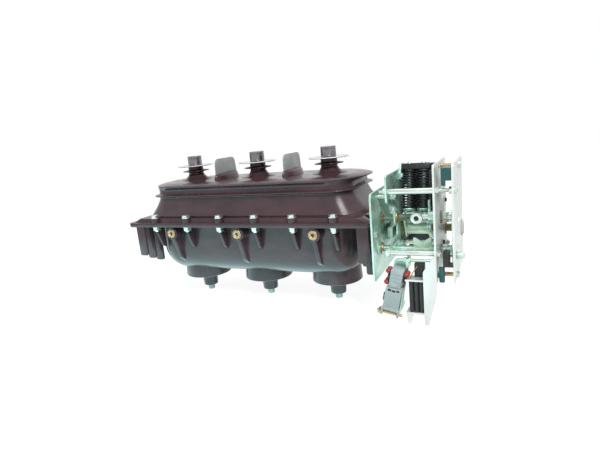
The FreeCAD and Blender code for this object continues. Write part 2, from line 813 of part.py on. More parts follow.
def relief_ring():
    start_y = trough_half_width + 5
    clamp = ring(port_ring_r, port_r, port_ring_t, V(port_x, start_y, port_z), Y_AXIS)
    places = [math.radians(60 * i + 30) for i in range(6)]
    circle = (port_r + port_ring_r) / 2
    heads = [cylinder(4.5, 3.5, V(port_x + circle * math.cos(a), start_y + port_ring_t,
                                  port_z + circle * math.sin(a)), Y_AXIS) for a in places]
    return fuse_all([clamp] + heads)


def filling_valve():
    """Brass valve body through the end wall with a hexagon and a screwed cap."""
    wall_x = -trough_half_length
    stem = cylinder(valve_r - 0.02, wall_t + 4, V(wall_x - 4, valve_y, valve_z), X_AXIS)
    nut = hex_prism(22.0, 6, V(wall_x - 10, valve_y, valve_z), X_AXIS)
    cap = cylinder(8.5, 12, V(wall_x - 22, valve_y, valve_z), X_AXIS)
    return fuse_all([stem, nut, cap])


def rod_places():
    """(y, z, first x, last x) of the long and short tie rods."""
    return [(rod_y, upper_rod_z, bearing_x + plate_t, inner_x),
            (rod_y, lower_rod_z, bearing_x + plate_t, inner_x),
            (back_rod[0], back_rod[1], bearing_x + plate_t, inner_x)]


def through_plate_holes(x0, places, radius):
    return [cylinder(radius, plate_t + 2, V(x0 - 1, y, z), X_AXIS) for y, z in places]


def mounting_plate():
    half = mounting_half_width
    outline = [(-half, mounting_top_z, 12), (half, mounting_top_z, 12), (half, mounting_bottom_z, 12),
               (-half, mounting_bottom_z, 12)]
    plate = plate_yz(outline, mounting_x, plate_t)
    y0, y1 = mounting_slot_y
    z0, z1 = mounting_slot_z
    slot = plate_yz([(y0, z1, 7), (y1, z1, 7), (y1, z0, 7), (y0, z0, 7)], mounting_x - 1, plate_t + 2)
    cutters = [slot, mirrored(slot, Y_AXIS)]
    cutters += through_plate_holes(mounting_x, [(shaft_y, shaft_z)], stub_r + 4)
    cutters += through_plate_holes(mounting_x, plate_screw_places(), 4.4)
    cutters += through_plate_holes(mounting_x, short_rods, rod_thread_r + 0.1)
    cutters += through_plate_holes(mounting_x, side_screw_places, 4.4)
    cutters += through_plate_holes(mounting_x, [(switch_y, switch_z), (earth_y, earth_z)], 11)
    return plate.cut(cutters)


def bearing_plate():
    ear_y = switch_y - 18
    arm_low = lower_rod_z - rod_arm_half
    arm_high = lower_rod_z + rod_arm_half
    arm_end = rod_y - rod_arm_half
    outline = [(lobe_front_y, bearing_top_z, 5), (bearing_back_y - 55, bearing_top_z, 10),
               (bearing_back_y, bearing_top_z - 31, 12), (bearing_back_y, bearing_bottom_z, 8),
               (ear_y + 15, bearing_bottom_z, 6), (ear_y + 20, arm_high - 4, 4),
               (earth_y - 16, arm_high - 4, 6), (rod_y + rod_arm_half, arm_low, 6),
               (arm_end, arm_low, 8.5), (arm_end, arm_high, 8.5), (ear_y + 20, lower_rod_z + 22, 8),
               (ear_y + 26, switch_z - 17, 4), (ear_y, switch_z - 17, 10),
               (ear_y, switch_z + 20, 10), (ear_y + 26, switch_z + 22, 6),
               (ear_y - 20, lobe_bottom_z - 14, 12), (lobe_front_y, lobe_bottom_z, 14)]
    plate = plate_yz(outline, bearing_x, plate_t)
    y0, y1 = window_y
    z0, z1 = window_z
    window = plate_yz([(y0, z1, 10), (y1, z1, 10), (y1, z0, 10), (y0, z0, 10)], bearing_x - 1, plate_t + 2)
    cutters = [window]
    cutters += through_plate_holes(bearing_x, [(shaft_y, shaft_z)], stub_r + 4)
    cutters += through_plate_holes(bearing_x, [(switch_y, switch_z)], 11)
    rods = [(y, z) for y, z, first, last in rod_places() if first > bearing_x]
    cutters += through_plate_holes(bearing_x, short_rods + rods, rod_thread_r + 0.1)
    cutters += through_plate_holes(bearing_x, [(-22, 91), (37, 86)], 3.2)
    return plate.cut(cutters)


def inner_plate():
    outline = [(mechanism_y0, plate_top_z, 4), (inner_y1, plate_top_z, 4), (inner_y1, plate_bottom_z, 4),
               (mechanism_y0, plate_bottom_z, 4)]
    plate = plate_yz(outline, inner_x, plate_t)
    rods = [(y, z) for y, z, first, last in rod_places()]
    cutters = through_plate_holes(inner_x, rods, rod_thread_r + 0.1)
    cutters += through_plate_holes(inner_x, spacer_places, rod_thread_r + 0.1)
    cutters += through_plate_holes(inner_x, [(shaft_y, shaft_z)], pilot_r + 3)
    cutters += through_plate_holes(inner_x, [(switch_y, switch_z), (earth_y, earth_z)], 11)
    cutters += through_plate_holes(inner_x, [(0, pivot_z)], pivot_r + 0.1)
    window = [(-45, 80, 6), (-20, 80, 6), (-20, 40, 6), (-45, 40, 6)]
    return plate.cut(cutters + [plate_yz(window, inner_x - 1, plate_t + 2)])


def front_plate():
    outline = [(front_y0, plate_top_z, 5), (front_y1, plate_top_z, 5), (front_y1, plate_bottom_z, 5),
               (front_y0, plate_bottom_z, 5)]
    plate = plate_yz(outline, front_x, plate_t)
    cutters = through_plate_holes(front_x, [(switch_y, switch_z), (earth_y, earth_z)], op_hole_r)
    cutters += through_plate_holes(front_x, [(shaft_y, shaft_z)], pilot_r + 0.4)
    cutters += through_plate_holes(front_x, spacer_places + [(rod_y, upper_rod_z)], rod_thread_r + 0.1)
    half = knob_stem_r + 0.8
    low = earth_z - 12
    high = low + slide_travel + 24
    cutters.append(plate_yz([(slide_knob_y - half, high, 4), (slide_knob_y + half, high, 4),
                             (slide_knob_y + half, low, 4), (slide_knob_y - half, low, 4)],
                            front_x - 1, plate_t + 2))
    plate = plate.cut(cutters)
    guides = []
    for y in (slide_knob_y - 12, switch_y + slide_half_width + 4):
        guides.append(block(front_x - slide_t - 0.5, front_x, y - knob_stem_r, y + knob_stem_r,
                            guide_strip_z0, guide_strip_z1))
    return fuse_all([plate] + guides)


def rear_screen():
    """Dark sheet behind the springs, on a foot that stands on the bearing plate."""
    x0 = bearing_x + plate_t
    sheet = block(x0, inner_x - 4, screen_y, screen_y + screen_t, screen_bottom_z, screen_top_z)
    foot = block(x0, x0 + screen_t, screen_y, screen_y + screen_foot, bearing_bottom_z + 2,
                 bearing_top_z - 20)
    return fuse_all([sheet, foot])


def tie_rods():
    """Long and short distance rods with stepped ends for the nuts."""
    solids = []
    for y, z, first, last in rod_places():
        body = cylinder(rod_r, last - first, V(first, y, z), X_AXIS)
        far = front_x + plate_t if z == upper_rod_z else last + plate_t
        start = first - rod_end_over
        end = cylinder(rod_thread_r, far + 8 - start, V(start, y, z), X_AXIS)
        solids.append(body.fuse(end))
    for y, z in short_rods:
        first = mounting_x + plate_t
        body = cylinder(short_rod_r, bearing_x - first, V(first, y, z), X_AXIS)
        end = cylinder(rod_thread_r, bearing_x - first + 17, V(first - 4 + 0.3, y, z), X_AXIS)
        solids.append(body.fuse(end))
    return group(solids)


def front_spacers():
    solids = []
    for y, z in spacer_places:
        first = inner_x + plate_t
        body = cylinder(rod_r - 1, front_x - first, V(first, y, z), X_AXIS)
        end = cylinder(rod_thread_r, front_x - first + 20, V(first - 10, y, z), X_AXIS)
        solids.append(body.fuse(end))
    return group(solids)


def nut(x, y, z, direction):
    body = hex_prism(13.0, 6.0, V(x, y, z), V(direction, 0, 0))
    return body.cut(cylinder(rod_thread_r + 0.02, 8, V(x - direction, y, z), V(direction, 0, 0)))


def plate_fasteners():
    solids = []
    for y, z, first, last in rod_places():
        solids.append(nut(last + plate_t, y, z, 1))
        solids.append(nut(first - plate_t, y, z, -1))
        if z == upper_rod_z:
            solids.append(nut(front_x + plate_t, y, z, 1))
            solids.append(nut(front_x, y, z, -1))
    for y, z in short_rods:
        solids.append(nut(bearing_x + plate_t, y, z, 1))
    for y, z in spacer_places:
        solids.append(nut(front_x + plate_t, y, z, 1))
        solids.append(nut(inner_x, y, z, -1))
    for y, z in plate_screw_places() + side_screw_places:
        head = hex_prism(13.0, 5.0, V(mounting_x + plate_t, y, z), X_AXIS)
        depth = 14 if abs(y) < 100 else 3.5
        solids.append(head.fuse(cylinder(3.95, depth + plate_t, V(mounting_x - depth, y, z), X_AXIS)))
    return group(solids)


def spring_bracket():
    """Angle plate on the bearing plate that carries one end of the trunnion."""
    x0 = bearing_x + plate_t
    plate = plate_yz([(-30, 82, 4), (-30, 98, 4), (-14, 119, 8), (14, 119, 8), (46, 94, 6), (46, 78, 4)],
                     x0, plate_t)
    hole = cylinder(pivot_r + running_gap, 12, V(x0 - 1, 0, pivot_z), X_AXIS)
    screws = []
    for y, z in [(-22, 91), (37, 86)]:
        screws.append(hex_prism(10.0, 4.0, V(x0 + plate_t, y, z), X_AXIS))
        screws.append(cylinder(3, plate_t * 2 + 3, V(x0 - plate_t - 3, y, z), X_AXIS))
    return fuse_all([plate.cut(hole)] + screws)


def spring_trunnion():
    """Cross bar on two pivots with a slotted hole for each guide rod."""
    x0 = bearing_x + 2 * plate_t + 0.8
    x1 = spring_x[1] + seat_r
    body = block(x0, x1, -trunnion_depth / 2, trunnion_depth / 2, -trunnion_height / 2, trunnion_height / 2)
    pivot_x = bearing_x + plate_t + 0.3
    pivot = cylinder(pivot_r, inner_x + plate_t - 0.2 - pivot_x, V(pivot_x, 0, 0), X_AXIS)
    collar = cylinder(pivot_r + 3, inner_x - x1 - 0.6, V(x1, 0, 0), X_AXIS)
    solid = fuse_all([body, pivot, collar])
    slot_half = guide_rod_r + 3
    side = guide_rod_r + contact_gap
    slots = [block(x - side, x + side, -slot_half, slot_half, -20, 20) for x in spring_x]
    solid = solid.cut(slots)
    solid = solid.translate(V(0, 0, pivot_z))
    return solid.rotate(V(0, 0, pivot_z), X_AXIS, -guide_swing())


def crank_pin_place():
    return at_angle(shaft_y, shaft_z, yoke_pin_arm, yoke_half_travel)


def guide_swing():
    """Lean of the spring guides from upright towards the front, at rest."""
    y, z = crank_pin_place()
    return math.degrees(math.atan2(-y, pivot_z - z))


def guide_length():
    y, z = crank_pin_place()
    return math.hypot(y, pivot_z - z)


def spring_guide():
    """Crosshead on the crank pin with two rods, each with a spring seat."""
    length = guide_length()
    x0 = spring_x[0] - 5.5
    x1 = sleeve_x1 - 0.8
    head = cylinder(crosshead_half, x1 - x0, V(x0, 0, 0), X_AXIS)
    pieces = [head]
    for x in spring_x:
        pieces.append(cylinder(guide_rod_r, length + guide_rod_over, V(x, 0, 0), Z_AXIS))
        pieces.append(cylinder(seat_r - 3, 3, V(x, 0, crosshead_half - 1), Z_AXIS))
        pieces.append(cylinder(seat_r, seat_t, V(x, 0, crosshead_half + 2), Z_AXIS))
    solid = fuse_all(pieces)
    solid = solid.cut(cylinder(crank_pin_r + running_gap, 90, V(x0 - 10, 0, 0), X_AXIS))
    y, z = crank_pin_place()
    return solid.translate(V(0, y, z)).rotate(V(0, y, z), X_AXIS, -guide_swing())


def coil_section(angle, pitch):
    """Polygon section of the spring wire, square to the coil at this angle."""
    outward = V(math.cos(angle), math.sin(angle), 0)
    along = V(-math.sin(angle), math.cos(angle), pitch / (2 * math.pi * spring_mean_r)).normalize()
    across = outward.cross(along)
    centre = outward * spring_mean_r + V(0, 0, pitch * angle / (2 * math.pi))
    turns = [2 * math.pi * i / spring_sides for i in range(spring_sides)]
    return [centre + outward * (spring_wire_r * math.cos(t)) + across * (spring_wire_r * math.sin(t))
            for t in turns]


def triangle(a, b, c):
    return Part.Face(Part.makePolygon([a, b, c, a]))


def main_spring(x):
    """Helical compression spring between the lower seat and the trunnion."""
    bottom = crosshead_half + 2 + seat_t + 0.3
    top = guide_length() - trunnion_height / 2 - 0.5
    pitch = (top - bottom - 2 * spring_wire_r) / spring_turns
    step = 2 * math.pi / spring_stations
    sections = [coil_section(i * step, pitch) for i in range(spring_turns * spring_stations + 1)]
    faces = [Part.Face(Part.makePolygon(end + end[:1])) for end in (sections[0], sections[-1])]
    for here, ahead in zip(sections, sections[1:]):
        for i in range(spring_sides):
            j = (i + 1) % spring_sides
            faces.append(triangle(here[i], here[j], ahead[i]))
            faces.append(triangle(here[j], ahead[j], ahead[i]))
    shell = Part.makeShell(faces)
    shell.sewShape()
    coil = Part.makeSolid(shell)
    if coil.Volume < 0:
        coil.reverse()
    y, z = crank_pin_place()
    coil = coil.translate(V(x, y, z + bottom + spring_wire_r))
    return coil.rotate(V(x, y, z), X_AXIS, -guide_swing())


def drive_pin_place(centre_y, centre_z):
    a = math.radians(drive_rest_angle)
    return centre_y + drive_arm * math.cos(a), centre_z + drive_arm * math.sin(a)


def crank_outline():
    """Hull-like outline of a crank plate from the hub to the pin boss."""
    hub = Part.makeCylinder(24, yoke_plate_t)
    pin = Part.makeCylinder(11, yoke_plate_t, V(0, yoke_pin_arm, 0))
    top = yoke_pin_arm + 2
    sides = Part.makePolygon([V(-23, 4, 0), V(-10.5, top, 0), V(10.5, top, 0), V(23, 4, 0), V(-23, 4, 0)])
    web = Part.Face(sides).extrude(V(0, 0, yoke_plate_t))
    return hub.fuse(pin).fuse(web)


def crank_plate(x0):
    solid = crank_outline()
    turn = FreeCAD.Matrix(0, 0, 1, x0, 1, 0, 0, shaft_y, 0, 1, 0, shaft_z, 0, 0, 0, 1)
    solid = solid.transformed(turn)
    return solid.rotate(V(x0, shaft_y, shaft_z), X_AXIS, yoke_half_travel)


def spring_yoke():
    """Sleeve on the shaft stub with two crank plates, the crank pin and the pin of the drive link."""
    pin_y, pin_z = crank_pin_place()
    drive_y, drive_z = drive_pin_place(shaft_y, shaft_z)
    left = sleeve_x0 - yoke_plate_t
    sleeve = cylinder(sleeve_r, sleeve_x1 - left + yoke_plate_t, V(left, shaft_y, shaft_z), X_AXIS)
    pieces = [sleeve, crank_plate(left), crank_plate(sleeve_x1)]
    pin_length = sleeve_x1 + yoke_plate_t - left + 6
    pieces.append(cylinder(crank_pin_r, pin_length, V(left - 3, pin_y, pin_z), X_AXIS))
    drive_start = V(sleeve_x1, drive_y, drive_z)
    pieces.append(cylinder(7.5, yoke_plate_t, drive_start, X_AXIS))
    pieces.append(cylinder(drive_pin_r, yoke_plate_t + link_t + 2.5, drive_start, X_AXIS))
    solid = fuse_all(pieces)
    return solid.cut(cylinder(stub_r + running_gap, 90, V(left - 10, shaft_y, shaft_z), X_AXIS))


def drive_link():
    """Flat link between the two equal arms; it stays parallel to itself."""
    x0 = sleeve_x1 + yoke_plate_t + 0.6
    near_y, near_z = drive_pin_place(switch_y, switch_z)
    far_y, far_z = drive_pin_place(shaft_y, shaft_z)
    length = math.hypot(far_y - near_y, far_z - near_z)
    body = Part.makeBox(length, 14, link_t, V(0, -7, 0))
    ends = [Part.makeCylinder(8, link_t), Part.makeCylinder(8, link_t, V(length, 0, 0))]
    solid = fuse_all([body] + ends)
    bore_r = drive_pin_r + running_gap
    solid = solid.cut([Part.makeCylinder(bore_r, link_t, V(d, 0, 0)) for d in (0, length)])
    angle = math.degrees(math.atan2(far_z - near_z, far_y - near_y))
    solid = solid.rotate(V(0, 0, 0), Z_AXIS, angle)
    turn = FreeCAD.Matrix(0, 0, 1, x0, 1, 0, 0, near_y, 0, 1, 0, near_z, 0, 0, 0, 1)
    return solid.transformed(turn)


def hex_socket_cut(y, z):
    return hex_prism(socket_af, socket_depth, V(op_shaft_end_x - socket_depth, y, z), X_AXIS)


def switch_shaft():
    """Operating shaft with a cross boss in the middle and a hexagon socket at the front."""
    start = mounting_x + 0.4
    shaft = cylinder(op_shaft_r, op_shaft_end_x - start, V(start, switch_y, switch_z), X_AXIS)
    head = cylinder(op_shaft_r + 3, 14, V(op_shaft_end_x - 14, switch_y, switch_z), X_AXIS)
    boss = cylinder(hub_ring_r, 27, V(hub_ring_x, switch_y - 15, switch_z), Y_AXIS)
    hole = cylinder(hub_ring_r * 0.42, 18, V(hub_ring_x, switch_y - 16, switch_z), Y_AXIS)
    return fuse_all([shaft, head, boss]).cut([hole, hex_socket_cut(switch_y, switch_z)])


def drive_lever():
    """Arm clamped on the switch shaft, with the pin of the drive link."""
    x0 = sleeve_x1 + yoke_plate_t + link_t + 1.2
    pin_y, pin_z = drive_pin_place(switch_y, switch_z)
    hub = cylinder(14, 12, V(x0, switch_y, switch_z), X_AXIS)
    eye = cylinder(8, 5, V(x0, pin_y, pin_z), X_AXIS)
    arm = Part.makeBox(5, drive_arm, 15, V(x0, 0, -7.5)).rotate(V(0, 0, 0), X_AXIS, drive_rest_angle)
    arm = arm.translate(V(0, switch_y, switch_z))
    pin = cylinder(drive_pin_r, link_t + 4, V(x0 - link_t - 1.2, pin_y, pin_z), X_AXIS)
    tail = block(x0, x0 + 4, switch_y - 6, switch_y + 6, switch_z, switch_z + lever_tail)
    solid = fuse_all([hub, eye, arm, pin, tail])
    return solid.cut(cylinder(op_shaft_r + 0.02, 40, V(x0 - 10, switch_y, switch_z), X_AXIS))


def earth_shaft():
    start = mounting_x + 0.4
    shaft = cylinder(op_shaft_r, op_shaft_end_x - start, V(start, earth_y, earth_z), X_AXIS)
    head = cylinder(op_shaft_r + 3, 14, V(op_shaft_end_x - 14, earth_y, earth_z), X_AXIS)
    return shaft.fuse(head).cut(hex_socket_cut(earth_y, earth_z))


def locking_catch():
    """V-shaped fork on a hub of the earthing shaft."""
    mid = hub_ring_x + 13
    left = mid - 20
    right = mid + 20
    hub = ring(13, op_shaft_r + 0.02, right - left, V(left, earth_y, earth_z), X_AXIS)
    top = earth_z + 29
    outline = [(left, top, 0), (left + 5, top, 0), (mid, top - 10, 2), (right - 5, top, 0), (right, top, 0),
               (right, top - 17, 0), (mid, top - 25, 0), (left, top - 17, 0)]
    fork = plate_xz(outline, earth_y - 11.5, 5)
    cut = cylinder(op_shaft_r + 0.02, 60, V(left - 8, earth_y, earth_z), X_AXIS)
    return fuse_all([hub, fork]).cut(cut)


def main_crank():
    """Crank between the mounting and bearing plates, pointing to the front."""
    x0 = mounting_x + plate_t + 7
    hub = cylinder(21, 16, V(x0, shaft_y, shaft_z), X_AXIS)
    arm = plate_yz([(0, 19, 0), (-50, 12, 6), (-66, 15, 6), (-66, -15, 6), (-50, -12, 6), (0, -19, 0)],
                   x0 + 2, 12).translate(V(0, shaft_y, shaft_z))
    return fuse_all([hub, arm]).cut(cylinder(stub_r + 0.02, 60, V(x0 - 20, shaft_y, shaft_z), X_AXIS))


def interlock_slide():
    """Sliding cover that blocks one operating socket at a time."""
    x0 = front_x - slide_t - slide_gap
    y0 = slide_knob_y - knob_r
    y1 = switch_y + slide_half_width
    low = earth_z - slide_half_height
    high = earth_z + slide_half_height
    plate = plate_yz([(y0, high, 3), (y1, high, 3), (y1, low, 3), (y0, low, 3)], x0, slide_t)
    stem = cylinder(knob_stem_r, plate_t + slide_t, V(x0 + slide_t - 0.5, slide_knob_y, earth_z), X_AXIS)
    knob = cylinder(knob_r, 12, V(front_x + plate_t + 0.6, slide_knob_y, earth_z), X_AXIS)
    return fuse_all([plate, stem, knob])


def position_indicator():
    """Round dial plate with a raised pointer on the end of the main shaft."""
    x0 = front_x + plate_t + 0.6
    dial = cylinder(19, 2.5, V(x0, shaft_y, shaft_z), X_AXIS)
    pointer = block(x0 + 2, x0 + 5, shaft_y - 3, shaft_y + 3, shaft_z - 14, shaft_z + 14)
    seat = cylinder(pilot_r + 0.02, 2.0, V(x0 - 0.5, shaft_y, shaft_z), X_AXIS)
    return fuse_all([dial, pointer]).cut(seat)


def shaft_bushes():
    """Flanged brass bushes of the shafts in the plates."""
    solids = []
    for x, y, z, radius, outer in [(mounting_x, switch_y, switch_z, op_shaft_r, 10.95),
                                   (mounting_x, earth_y, earth_z, op_shaft_r, 10.95),
                                   (bearing_x, switch_y, switch_z, op_shaft_r, 10.95),
                                   (inner_x, switch_y, switch_z, op_shaft_r, 10.95),
                                   (inner_x, earth_y, earth_z, op_shaft_r, 10.95),
                                   (bearing_x, shaft_y, shaft_z, stub_r, stub_r + 3.95),
                                   (inner_x, shaft_y, shaft_z, pilot_r, pilot_r + 2.95)]:
        body = cylinder(outer, plate_t + 2, V(x, y, z), X_AXIS)
        flange = cylinder(outer + 3, 2.5, V(x + plate_t, y, z), X_AXIS)
        solids.append(body.fuse(flange).cut(cylinder(radius + running_gap, 20, V(x - 5, y, z), X_AXIS)))
    return group(solids)


def aux_tilted(shape):
    """Turn a piece of the auxiliary switch to its slope."""
    return shape.rotate(V(aux_hinge_x, 0, aux_hinge_z), Y_AXIS, aux_tilt)


def aux_body(width, depth, z0, z1):
    """Upright block in front of the bracket's sheet."""
    return block(aux_mid_x - width / 2, aux_mid_x + width / 2, aux_face_y - depth, aux_face_y - 0.2, z0, z1)


def aux_bracket():
    """Sloping sheet with a cheek, hung by a tab between two collars of a stud."""
    left = aux_mid_x - aux_sheet_half_width
    right = aux_mid_x + aux_sheet_half_width
    back = aux_face_y + aux_sheet_t
    sheet = plate_xz([(left, aux_sheet_z1, 4), (right, aux_sheet_z1, 4), (right, aux_sheet_z0, 4),
                      (left, aux_sheet_z0, 4)], aux_face_y, aux_sheet_t)
    cheek_x = aux_mid_x + aux_lower_width / 2 + aux_foot_over + 0.4
    front = aux_face_y - aux_lower_depth - aux_foot_over
    low = aux_sheet_z0 + 2
    cheek = plate_yz([(front, low + 50, 0), (front + 8, low + 54, 0), (front + 36, low + 14, 0),
                      (back, low + 12, 0), (back, low, 0), (front, low, 0)], cheek_x, aux_cheek_t)
    cheek = cheek.cut(cylinder(aux_rod_r + 1, 10, V(cheek_x - 4, aux_rod_y, aux_rod_z), X_AXIS))
    brace = block(right - 6, cheek_x + aux_cheek_t, aux_face_y, back, low, low + 12)
    stud = cylinder(aux_stud_r, inner_x - aux_stud_x0, V(aux_stud_x0, aux_stud_y, aux_stud_z), X_AXIS)
    collars = [cylinder(aux_stud_r + 3, 4, V(x, aux_stud_y, aux_stud_z), X_AXIS)
               for x in (aux_tab_x - 4, aux_tab_x + aux_tab_t)]
    tab = block(aux_tab_x, aux_tab_x + aux_tab_t, aux_stud_y - aux_stud_r, back, aux_stud_z - 18,
                aux_stud_z + aux_stud_r)
    return fuse_all([aux_tilted(sheet), aux_tilted(cheek), aux_tilted(brace), stud, tab] + collars)


def aux_switch_upper():
    body = aux_body(aux_upper_width, aux_upper_depth, aux_upper_z0, aux_upper_z1)
    ribs = [aux_body(aux_upper_width, aux_upper_depth + 1, z, z + aux_rib_t) for z in aux_rib_z]
    return aux_tilted(fuse_all([body] + ribs))


def aux_switch_lower():
    """Switch body on a foot with two lugs that carry the rotor's rod."""
    body = aux_body(aux_lower_width, aux_lower_depth, aux_lower_z0, aux_upper_z0 - 0.4)
    foot = aux_body(aux_lower_width + 2 * aux_foot_over, aux_lower_depth + aux_foot_over,
                    aux_lower_z0 - aux_foot_t / 2, aux_lower_z0 + aux_foot_t / 2)
    edge = aux_lower_width / 2 + aux_foot_over
    half = aux_rod_r + 3
    lugs = [block(x, x + 4, aux_rod_y - half, aux_rod_y + half, aux_rod_z - half, aux_lower_z0)
            for x in (aux_mid_x - edge, aux_mid_x + edge - 4)]
    bore_start = V(aux_mid_x - 2 * edge, aux_rod_y, aux_rod_z)
    bore = cylinder(aux_rod_r + running_gap, 4 * edge, bore_start, X_AXIS)
    return aux_tilted(fuse_all([body, foot] + lugs).cut(bore))


def aux_terminals():
    """Round terminals: two rows on the left of the upper switch, one on the right."""
    half = aux_upper_width / 2
    places = [(aux_mid_x - half - aux_screw_length, z) for z in aux_screw_z]
    places.append((aux_mid_x + half, aux_screw_z[-1]))
    solids = []
    for x, z in places:
        for y in aux_screw_y:
            solids.append(aux_tilted(cylinder(aux_screw_r, aux_screw_length, V(x, y, z), X_AXIS)))
    return group(solids)


def aux_rotor():
    """Rod under the lower switch with the lever that its cams are turned by."""
    x0 = aux_mid_x - aux_rod_half_length
    rod = cylinder(aux_rod_r, 2 * aux_rod_half_length, V(x0, aux_rod_y, aux_rod_z), X_AXIS)
    lever = block(x0 + 2, x0 + 6, aux_rod_y - aux_rod_r, aux_rod_y + 14, aux_rod_z - 6,
                  aux_rod_z + aux_rod_r)
    return aux_tilted(fuse_all([rod, lever]))


def coil_frame():
    """Bent bracket under the inner plate with the top and bottom bars of the coil."""
    x0 = inner_x + plate_t
    sheet_t = 3.0
    outline = [(x0, coil_z1 + 61, 0), (x0, coil_z1 - 25, 6), (coil_x1 + 9, coil_tip_z, 2),
               (coil_x1, coil_tip_z, 2), (coil_x1, coil_z1 + 23, 2), (inner_x - 4, coil_z1 + 55, 2)]
    side = plate_xz(outline, mechanism_y0 - sheet_t - 0.3, sheet_t)
    left = coil_x1 - coil_width - 6.4
    right = coil_x1 + coil_sheet_t
    top = block(left, right, mechanism_y0, coil_rear_y, coil_z1, coil_z1 + coil_sheet_t)
    bottom = block(left, right, mechanism_y0, coil_rear_y, coil_z0 - coil_sheet_t, coil_z0)
    web = block(coil_x1, right, mechanism_y0 - 1, coil_rear_y, coil_z0 - coil_sheet_t,
                coil_z1 + coil_sheet_t)
    tab = block(inner_x - 4, inner_x, mechanism_y0 - 1, coil_rear_y - 10, coil_z1 + 1, coil_z1 + 31)
    low = coil_z0 - coil_sheet_t
    lug = plate_xz([(left, low + 1, 0), (left + 16, low + 1, 0), (left + 9, low - coil_lug, 2),
                    (left + 4, low - coil_lug, 2)], mechanism_y0, sheet_t)
    return fuse_all([side, top, bottom, web, tab, lug])


def coil_block():
    """Moulded coil with grooves across its front, and the box for its wires on top of the frame."""
    x0 = coil_x1 - coil_width
    front = mechanism_y0 + 2
    core = block(x0, coil_x1 - coil_gap, front, coil_rear_y - 2, coil_z0 + coil_gap, coil_z1 - coil_gap)
    first = coil_z0 + coil_rib_pitch
    grooves = [block(x0 - 1, coil_x1, front - 1, front + 3, first + i * coil_rib_pitch,
                     first + i * coil_rib_pitch + coil_rib_t) for i in range(coil_ribs)]
    low = coil_z1 + coil_sheet_t
    box = block(coil_box_x0, coil_box_x0 + coil_box_width, coil_box_y0, coil_box_y0 + coil_box_depth, low,
                low + coil_box_height)
    return group([core.cut(grooves), box])


def interlock_switch_upper():
    """Snap switch on the back of the front plate, with its roller below."""
    y = upper_micro_y
    z = upper_micro_z
    body = block(micro_x0, front_x, y - 19, y + 19, z - 13, z + 13)
    arm = block(micro_x0, micro_x0 + 8, y - 19, y - 7, z - 21, z - 12)
    return fuse_all([body, arm, cylinder(5, 8, V(micro_x0, y - 13, z - 19), X_AXIS)])


def interlock_switch_lower():
    """Snap switch on a foot behind the front plate."""
    y = lower_micro_y
    z = lower_micro_z
    body = block(micro_x0 + 1, front_x - 7, y - 12, y + 12, z - 14, z + 14)
    foot = block(micro_x0 + 1, front_x, y - 12, y + 12, z - 18, z - 13)
    return fuse_all([body, foot])


def buffer():
    """Upright damping cylinder with a clamp on the inner plate."""
    barrel = cylinder(buffer_r, buffer_length, V(buffer_x, buffer_y, buffer_z0), Z_AXIS)
    clamp = block(inner_x + plate_t, buffer_x, buffer_y - 4, buffer_y + 4, buffer_z0 + 10, buffer_z0 + 18)
    return fuse_all([barrel, clamp])


def nodes():
    table = {
        "upper_housing": upper_housing(), "lower_housing": lower_housing(),
        "flange_seal": flange_seal(), "flange_bolts": flange_bolts(), "side_inserts": side_inserts(),
        "earth_bar": earth_bar(), "main_shaft": main_shaft(), "shaft_bearings": shaft_bearings(),
        "shaft_seal": shaft_seal(), "relief_disc": relief_disc(), "relief_ring": relief_ring(),
        "filling_valve": filling_valve(), "mounting_plate": mounting_plate(),
        "bearing_plate": bearing_plate(), "inner_plate": inner_plate(), "front_plate": front_plate(),
        "tie_rods": tie_rods(), "front_spacers": front_spacers(), "plate_fasteners": plate_fasteners(),
        "rear_screen": rear_screen(), "spring_bracket": spring_bracket(),
        "spring_trunnion": spring_trunnion(), "spring_guide": spring_guide(),
        "spring_yoke": spring_yoke(), "drive_link": drive_link(), "switch_shaft": switch_shaft(),
        "drive_lever": drive_lever(), "earth_shaft": earth_shaft(), "locking_catch": locking_catch(),
        "main_crank": main_crank(), "interlock_slide": interlock_slide(),
        "position_indicator": position_indicator(), "shaft_bushes": shaft_bushes(),
        "aux_bracket": aux_bracket(), "aux_switch_upper": aux_switch_upper(),
        "aux_switch_lower": aux_switch_lower(), "aux_terminals": aux_terminals(),
        "aux_rotor": aux_rotor(), "coil_frame": coil_frame(), "coil_block": coil_block(),
        "interlock_switch_upper": interlock_switch_upper(),
        "interlock_switch_lower": interlock_switch_lower(), "buffer": buffer(),
    }
    for i, x in enumerate(phase_x):
        table["upper_terminal_%d" % (i + 1)] = upper_terminal(x)
        table["field_disc_%d" % (i + 1)] = field_disc(x)
        table["lower_terminal_%d" % (i + 1)] = lower_terminal(x)
        table["moving_contact_%d" % (i + 1)] = moving_contact(x)
    for i in range(len(phase_x) - 1):
        table["phase_barrier_%d" % (i + 1)] = phase_barrier((phase_x[i] + phase_x[i + 1]) / 2)
    for i, x in enumerate(spring_x):
        table["main_spring_%d" % (i + 1)] = main_spring(x)
    return table


os.makedirs("parts", exist_ok=True)
for name, shape in nodes().items():
    shape.exportStep("parts/" + name + ".step")
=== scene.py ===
"""Looks of a three-phase switch disconnector: cast resin tank, bushings and spring mechanism.

X runs along the phases towards the mechanism, -Y is the front, Z is up. The scene is in metres; sizes are
written in millimetres.
"""

import json
from math import cos, pi, radians, sin, sqrt
from types import SimpleNamespace

import bmesh
import bpy
from mathutils import Matrix, Vector

